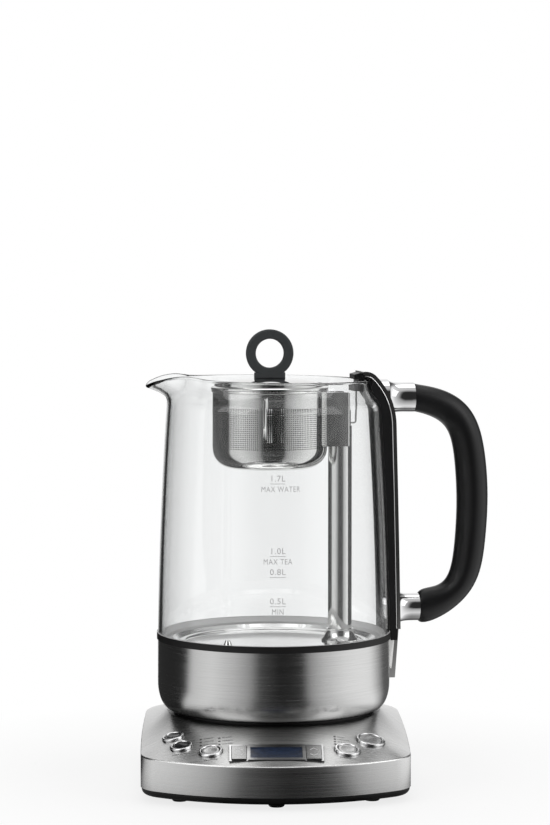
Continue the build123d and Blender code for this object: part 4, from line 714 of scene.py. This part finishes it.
def glass_section(side_line, away):
    """Closed outline of the glass's wall at an angle from the beak's middle, as (radius, height)."""
    # pull is how far this section is drawn out into the beak, and raised what the rim's line then adds on top
    pull = math.cos(TURN / 4 * away / BEAK_SPREAD) ** 2 if away < BEAK_SPREAD else 0.0
    pulled_rim = NECK_TOP + pull * (BEAK_LINE[-1][2] * MM - NECK_TOP)
    raised = smooth_between(RIM_LINE, math.degrees(away), level_ends=True) * MM - pulled_rim
    outer = []
    for row, (height, radius) in enumerate(side_line):
        if row > SIDE_ROWS:
            share = (row - SIDE_ROWS) / NECK_ROWS
            beak_radius, beak_height = beak_point(share)
            radius += pull * (beak_radius - radius)
            height += pull * (beak_height - height) + share**2 * raised
        outer.append(Vector((radius, height)))
    inner = []
    for spot, point in enumerate(outer):
        along = (outer[min(spot + 1, len(outer) - 1)] - outer[max(spot - 1, 0)]).normalized()
        inner.append(point + Vector((-along.y, along.x)) * GLASS_WALL)
    inner[0] = outer[0] - Vector((GLASS_WALL, 0.0))
    along = (outer[-1] - outer[-2]).normalized()
    across = Vector((-along.y, along.x))
    middle = (outer[-1] + inner[-1]) / 2
    angles = [math.pi * step / LIP_STEPS for step in range(1, LIP_STEPS)]
    lip = [middle + (along * math.sin(angle) - across * math.cos(angle)) * GLASS_WALL / 2 for angle in angles]
    return outer + lip + inner[::-1]


def jug_body():
    """The blown glass body as one closed mesh."""
    form = bmesh.new()
    side_line = glass_side_line()
    columns = []
    for column in range(GLASS_COLUMNS):
        turn = TURN * column / GLASS_COLUMNS
        across, along = math.cos(BEAK_BEARING + turn), math.sin(BEAK_BEARING + turn)
        outline = glass_section(side_line, min(turn, TURN - turn))
        columns.append([form.verts.new((point.x * across, point.x * along, point.y)) for point in outline])
    for column, here in enumerate(columns):
        join_loops(form, here, columns[(column + 1) % GLASS_COLUMNS])
    bmesh.ops.recalc_face_normals(form, faces=form.faces)
    body = mesh_piece("blown_glass_body", form, jug_glass, crease=50.0)
    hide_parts("glass_jug")
    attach(body, "jug")
    return body


# ---------------------------------------------------------------------------
# Handle strap: bright edges of the polished plate
# ---------------------------------------------------------------------------

def strap_line():
    """Points of the plate's outer line moved inwards, in the jug's own upright plane."""
    plate = surface_of("handle_plate")
    to_frame = Matrix.Rotation(JUG_TURN, 4, "Z")
    eye = Vector((STRAP_EYE[0], STRAP_PROBE, STRAP_EYE[1]))
    points = []
    for step in range(STRAP_STEPS + 1):
        bearing = math.radians(STRAP_SWEEP[0] + (STRAP_SWEEP[1] - STRAP_SWEEP[0]) * step / STRAP_STEPS)
        outwards = Vector((math.cos(bearing), 0.0, math.sin(bearing)))
        hit = plate.ray_cast(to_frame @ (eye + outwards * OUTSIDE), to_frame.to_3x3() @ -outwards)[0]
        back = to_frame.inverted() @ hit
        points.append(Vector((back.x, back.z)))
    moved = []
    for spot, point in enumerate(points):
        along = (points[min(spot + 2, STRAP_STEPS)] - points[max(spot - 2, 0)]).normalized()
        moved.append(point + Vector((-along.y, along.x)) * STRAP_INSET)
    return moved


def bead(form, path):
    """Round bead along a path in an upright plane, closed at its ends."""
    angles = [TURN * side / STRAP_EDGE_SIDES for side in range(STRAP_EDGE_SIDES)]
    loops = []
    for spot, point in enumerate(path):
        along = (path[min(spot + 1, len(path) - 1)] - path[max(spot - 1, 0)]).normalized()
        across = along.cross(Vector((0.0, 1.0, 0.0))).normalized()
        over = along.cross(across)
        loops.append([
            form.verts.new(point + (across * math.cos(angle) + over * math.sin(angle)) * STRAP_EDGE_R)
            for angle in angles
        ])
    for here, there in zip(loops, loops[1:]):
        join_loops(form, there, here)
    form.faces.new(loops[0][::-1])
    form.faces.new(loops[-1])


def strap_edges():
    """Bright rounded edges along both sides of the strap."""
    form = bmesh.new()
    line = strap_line()
    for side in (-STRAP_SIDE, STRAP_SIDE):
        bead(form, [Vector((point.x, side, point.y)) for point in line])
    bmesh.ops.transform(form, matrix=Matrix.Rotation(JUG_TURN, 4, "Z"), verts=form.verts)
    bmesh.ops.recalc_face_normals(form, faces=form.faces)
    edges = mesh_piece("strap_bright_edges", form, bright_chrome)
    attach(edges, "jug")


glass_body = jug_body()
strap_edges()


# ---------------------------------------------------------------------------
# Prints: capacity marks on the glass, panel words, key marks
# ---------------------------------------------------------------------------

def words(label, text, size, spacing):
    """Flat lettering as a mesh about its own centre, in X and Y, with a little depth."""
    curve = bpy.data.curves.new(label, "FONT")
    curve.body = text
    curve.size = size
    curve.space_character = spacing
    curve.align_x = "CENTER"
    curve.align_y = "CENTER"
    curve.extrude = PRINT_DEPTH / 2
    curve.resolution_u = LETTER_STEPS
    lettering = bpy.data.objects.new(label, curve)
    bpy.context.scene.collection.objects.link(lettering)
    return plain_mesh(lettering, label)


def bar(label, width, height):
    """Flat printed bar about its own centre, cut across so that it can bend."""
    form = bmesh.new()
    bmesh.ops.create_cube(form, size=1.0, matrix=Matrix.Diagonal((width, height, PRINT_DEPTH, 1.0)))
    long_edges = [edge for edge in form.edges if abs(edge.verts[0].co.x - edge.verts[1].co.x) > width / 2]
    bmesh.ops.subdivide_edges(form, edges=long_edges, cuts=MARK_LINE_CUTS)
    return mesh_piece(label, form, glass_ink)


def wrap_on_glass(piece, glass, height):
    """Bend a flat print round the glass at a height."""
    for vertex in piece.data.vertices:
        angle = MARKS_BEARING + vertex.co.x / MARKS_R
        outwards = Vector((math.cos(angle), math.sin(angle), 0.0))
        level = Vector((0.0, 0.0, height + vertex.co.y))
        spot = glass.ray_cast(level + outwards * OUTSIDE, -outwards)[0]
        vertex.co = spot + outwards * (PRINT_LIFT + vertex.co.z)
    piece.data.update()


def lay_on_top(piece, surface, x, y):
    """Drop a flat print on a surface about a plan place."""
    for vertex in piece.data.vertices:
        above = Vector((x + vertex.co.x, y + PANEL_SLOPE * vertex.co.y, OUTSIDE))
        spot = surface.ray_cast(above, Vector((0.0, 0.0, -1.0)))[0]
        if spot is None:
            raise ValueError(f"{piece.name} misses the surface at {above / MM}")
        vertex.co = spot + Vector((0.0, 0.0, PRINT_LIFT + vertex.co.z))
    piece.data.update()


def joined(pieces, name, material):
    """Join plain mesh objects into one piece."""
    form = bmesh.new()
    for piece in pieces:
        form.from_mesh(piece.data)
        bpy.data.objects.remove(piece)
    bmesh.ops.recalc_face_normals(form, faces=form.faces)
    return mesh_piece(name, form, material, crease=30.0)


def capacity_marks():
    """Lines and words for the fill levels."""
    glass = search_tree(glass_body.data)
    marks = []
    for level, amount, meaning, shift in CAPACITY_MARKS:
        for text, (size, rise, width), aside in ((amount, AMOUNT_STYLE, 0.0), (meaning, MEANING_STYLE, shift)):
            if text:
                lettering = words(f"mark_{text}", text, size, MARK_SPACING)
                lettering.data.transform(Matrix.Diagonal((width, 1.0, 1.0, 1.0)))
                lettering.data.transform(Matrix.Translation((aside * MM, 0.0, 0.0)))
                wrap_on_glass(lettering, glass, (level + rise) * MM)
                marks.append(lettering)
        line = bar(f"line_{amount}", *MARK_LINE)
        wrap_on_glass(line, glass, level * MM)
        marks.append(line)
    piece = joined(marks, "capacity_marks", glass_ink)
    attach(piece, "jug")


def panel_words():
    """Small words beside the lamps and in front of the buttons."""
    cover = surface_of("base_cover")
    legends = []
    for x, y, text in LAMP_WORDS:
        lettering = words(f"legend_{text.lower()}", text, LEGEND_SIZE, LEGEND_SPACING)
        half = max(vertex.co.x for vertex in lettering.data.vertices)
        lay_on_top(lettering, cover, x * MM + half + LEGEND_GAP, y * MM)
        legends.append(lettering)
    for x, y, text in BUTTON_WORDS:
        lettering = words(f"legend_{text.lower().replace(' ', '_')}", text, LEGEND_SIZE, LEGEND_SPACING)
        lay_on_top(lettering, cover, x * MM, y * MM - LEGEND_DROP)
        legends.append(lettering)
    piece = joined(legends, "panel_legends", panel_ink)
    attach(piece, "base")


def panel_matrix(across, forward, lift):
    """Matrix that lays a flat print on the display's plane: across to the right, forward away from the user."""
    up = DISPLAY_NORMAL.normalized()
    right = Vector((1.0, 0.0, 0.0))
    right = (right - up * right.dot(up)).normalized()
    back = up.cross(right)
    place = DISPLAY_ORIGIN + right * across + back * forward + up * lift
    return Matrix.Translation(place) @ Matrix((right, back, up)).transposed().to_4x4()


def chevron(label, width, rise, stroke):
    """Flat chevron that points away from the user, or towards them with a negative rise and stroke."""
    form = bmesh.new()
    half = width / 2
    outline = [(-half, 0), (0, rise), (half, 0), (half, -stroke), (0, rise - stroke), (-half, -stroke)]
    top = [form.verts.new((x, y, PRINT_DEPTH / 2)) for x, y in outline]
    low = [form.verts.new((x, y, -PRINT_DEPTH / 2)) for x, y in outline]
    form.faces.new(top)
    form.faces.new(low[::-1])
    join_loops(form, top, low)
    return mesh_piece(label, form, white_ink)


def key_marks():
    """Up mark on each key's rear half and down mark on its raised front half."""
    for side, key in ((-1, "temperature_key"), (1, "time_key")):
        marks = []
        for label, rise, stroke, forward, lift in KEY_CHEVRONS:
            mark = chevron(label, CHEVRON_WIDTH, rise * MM, stroke * MM)
            mark.data.transform(panel_matrix(side * KEY_CENTRE, forward * MM, lift))
            marks.append(mark)
        piece = joined(marks, f"{key}_marks", white_ink)
        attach(piece, key)


capacity_marks()
panel_words()
key_marks()


# ---------------------------------------------------------------------------
# Studio: floor, world, lamps and camera
# ---------------------------------------------------------------------------

WORLD_STOPS = [                         # brightness from behind, round by the left, the front and the right
    (0.000, 0.95), (0.040, 0.85), (0.060, 0.03), (0.245, 0.02), (0.266, 0.72), (0.333, 0.86), (0.400, 0.58),
    (0.437, 0.36), (0.461, 0.07), (0.513, 0.015), (0.572, 0.03), (0.592, 0.36), (0.628, 0.60), (0.690, 0.90),
    (0.735, 1.00), (0.785, 1.00), (0.830, 0.45), (0.860, 0.12), (0.930, 0.10), (0.955, 0.90), (1.000, 0.95),
]
WHITE = (1.0, 1.0, 1.0, 1.0)
SKY_GREY = (0.62, 0.62, 0.62, 1.0)
OVERHEAD = (0.66, 0.92, 0.0, 1.0)       # steepness over which the studio's ring turns into the grey above
FLOOR_HALF = 8.0
FLOOR_WHITE = (0.13, 0.30, 0.80, 1.0)   # reach between which the floor turns plain white, and its share of that
FLOOR_NEAR = (0.10, 0.17, 0.04, 1.0)    # reach between which the mirrored floor lights up, and how much
LAMP_AIM = Vector((0.0, 0.0, 0.12))
LAMPS = [                               # name, place, width and height, and watts
    ("key_box", (-1.4, -1.3, 1.6), (1.5, 1.5), 9.0),
    ("fill_box", (1.7, -0.9, 1.2), (1.2, 1.4), 6.0),
    ("top_box", (0.0, 0.4, 2.0), (1.6, 1.2), 7.0),
]
CAMERA_REACH = 1.8091                   # from the jug's axis, seen from above
CAMERA_HEIGHT = 0.3423
CAMERA_AZIMUTH = math.radians(-1.0)
CAMERA_PITCH = math.radians(3.3718)
CAMERA_ASIDE = 0.00086                  # to its own right
CAMERA_SENSOR = 36.0
CAMERA_LENS = 122.62
CAMERA_CLIP = (0.05, 20.0)


def studio_ring(tree, x, y):
    """Soft boxes and dark flags that stand round the object, by their bearing from the front."""
    bearing = maths(tree, "ARCTAN2", x, maths(tree, "MULTIPLY", y, -1.0))
    return ramp(tree, maths(tree, "MULTIPLY_ADD", bearing, 1 / TURN, 0.5), WORLD_STOPS)


def looked_at(tree):
    """Whether the studio is looked at straight or through glass, and whether a ray comes from a mirror."""
    rays = put(tree, "ShaderNodeLightPath").outputs
    straight = maths(tree, "LESS_THAN", rays["Glossy Depth"], 0.5)
    sight = maths(tree, "MAXIMUM", rays["Is Camera Ray"], rays["Is Transmission Ray"])
    return maths(tree, "MULTIPLY", straight, sight), maths(tree, "SUBTRACT", 1.0, straight)


def studio_floor():
    """Wide pale floor with a soft trace of the shadow, which mirrors show dark near by and like the ring."""
    form = bmesh.new()
    bmesh.ops.create_grid(form, x_segments=2, y_segments=2, size=FLOOR_HALF)
    made, tree, surface = shader("pale_floor", roughness=0.6)
    place = object_place(tree)
    parts = parted(tree, place)
    tone = ramp(tree, grain(tree, place, scale=3.0, detail=1.0), [(0.3, 0.93), (0.7, 0.95)])
    tree.links.new(tone, surface.inputs["Base Color"])
    reach = length(tree, place)
    seen, reflected = looked_at(tree)
    seen_white = maths(tree, "MULTIPLY", seen, spread(tree, reach, *FLOOR_WHITE))
    share = maths(tree, "MINIMUM", maths(tree, "ADD", seen_white, reflected), 1.0)
    ring = put(tree, "ShaderNodeVectorMath", {
        0: studio_ring(tree, parts[0], parts[1]), 3: spread(tree, reach, *FLOOR_NEAR),
    }, operation="SCALE").outputs[0]
    glow = put(tree, "ShaderNodeEmission", {"Color": mixed_colour(tree, seen, ring, WHITE), "Strength": 1.0})
    mixed = put(tree, "ShaderNodeMixShader", {0: share, 1: surface.outputs[0], 2: glow.outputs[0]})
    tree.links.new(mixed.outputs[0], tree.nodes["Material Output"].inputs["Surface"])
    floor = mesh_piece("studio_floor", form, made)


def studio_world():
    """White where it is looked at, and a ring of soft boxes and dark gaps where metal mirrors it."""
    world = bpy.data.worlds.new("studio")
    bpy.context.scene.world = world
    world.use_nodes = True
    tree = world.node_tree
    backdrop = tree.nodes["Background"]
    x, y, z = parted(tree, put(tree, "ShaderNodeTexCoord").outputs["Generated"])
    sky = mixed_colour(tree, spread(tree, z, *OVERHEAD), studio_ring(tree, x, y), SKY_GREY)
    tree.links.new(mixed_colour(tree, looked_at(tree)[0], sky, WHITE), backdrop.inputs["Color"])
    backdrop.inputs["Strength"].default_value = 1.0


def soft_box(name, place, size, watts):
    """Area lamp that points at the object."""
    lamp = bpy.data.lights.new(name, "AREA")
    lamp.shape = "RECTANGLE"
    lamp.size, lamp.size_y = size
    lamp.energy = watts
    box = bpy.data.objects.new(name, lamp)
    box.location = place
    box.rotation_euler = (LAMP_AIM - Vector(place)).to_track_quat("-Z", "Y").to_euler()
    bpy.context.scene.collection.objects.link(box)


def studio_camera():
    """Camera a little to the left of the front and looking slightly down."""
    camera = bpy.data.cameras.new("studio_camera")
    camera.sensor_fit = "VERTICAL"
    camera.sensor_height = CAMERA_SENSOR
    camera.sensor_width = CAMERA_SENSOR
    camera.lens = CAMERA_LENS
    camera.clip_start, camera.clip_end = CAMERA_CLIP
    holder = bpy.data.objects.new("studio_camera", camera)
    holder.location = (
        CAMERA_REACH * math.sin(CAMERA_AZIMUTH) + CAMERA_ASIDE * math.cos(CAMERA_AZIMUTH),
        -CAMERA_REACH * math.cos(CAMERA_AZIMUTH) + CAMERA_ASIDE * math.sin(CAMERA_AZIMUTH),
        CAMERA_HEIGHT,
    )
    holder.rotation_euler = (TURN / 4 - CAMERA_PITCH, 0.0, CAMERA_AZIMUTH)
    bpy.context.scene.collection.objects.link(holder)
    bpy.context.scene.camera = holder


studio_floor()
studio_world()
for lamp_settings in LAMPS:
    soft_box(*lamp_settings)
studio_camera()
bpy.context.scene.view_settings.view_transform = "Standard"
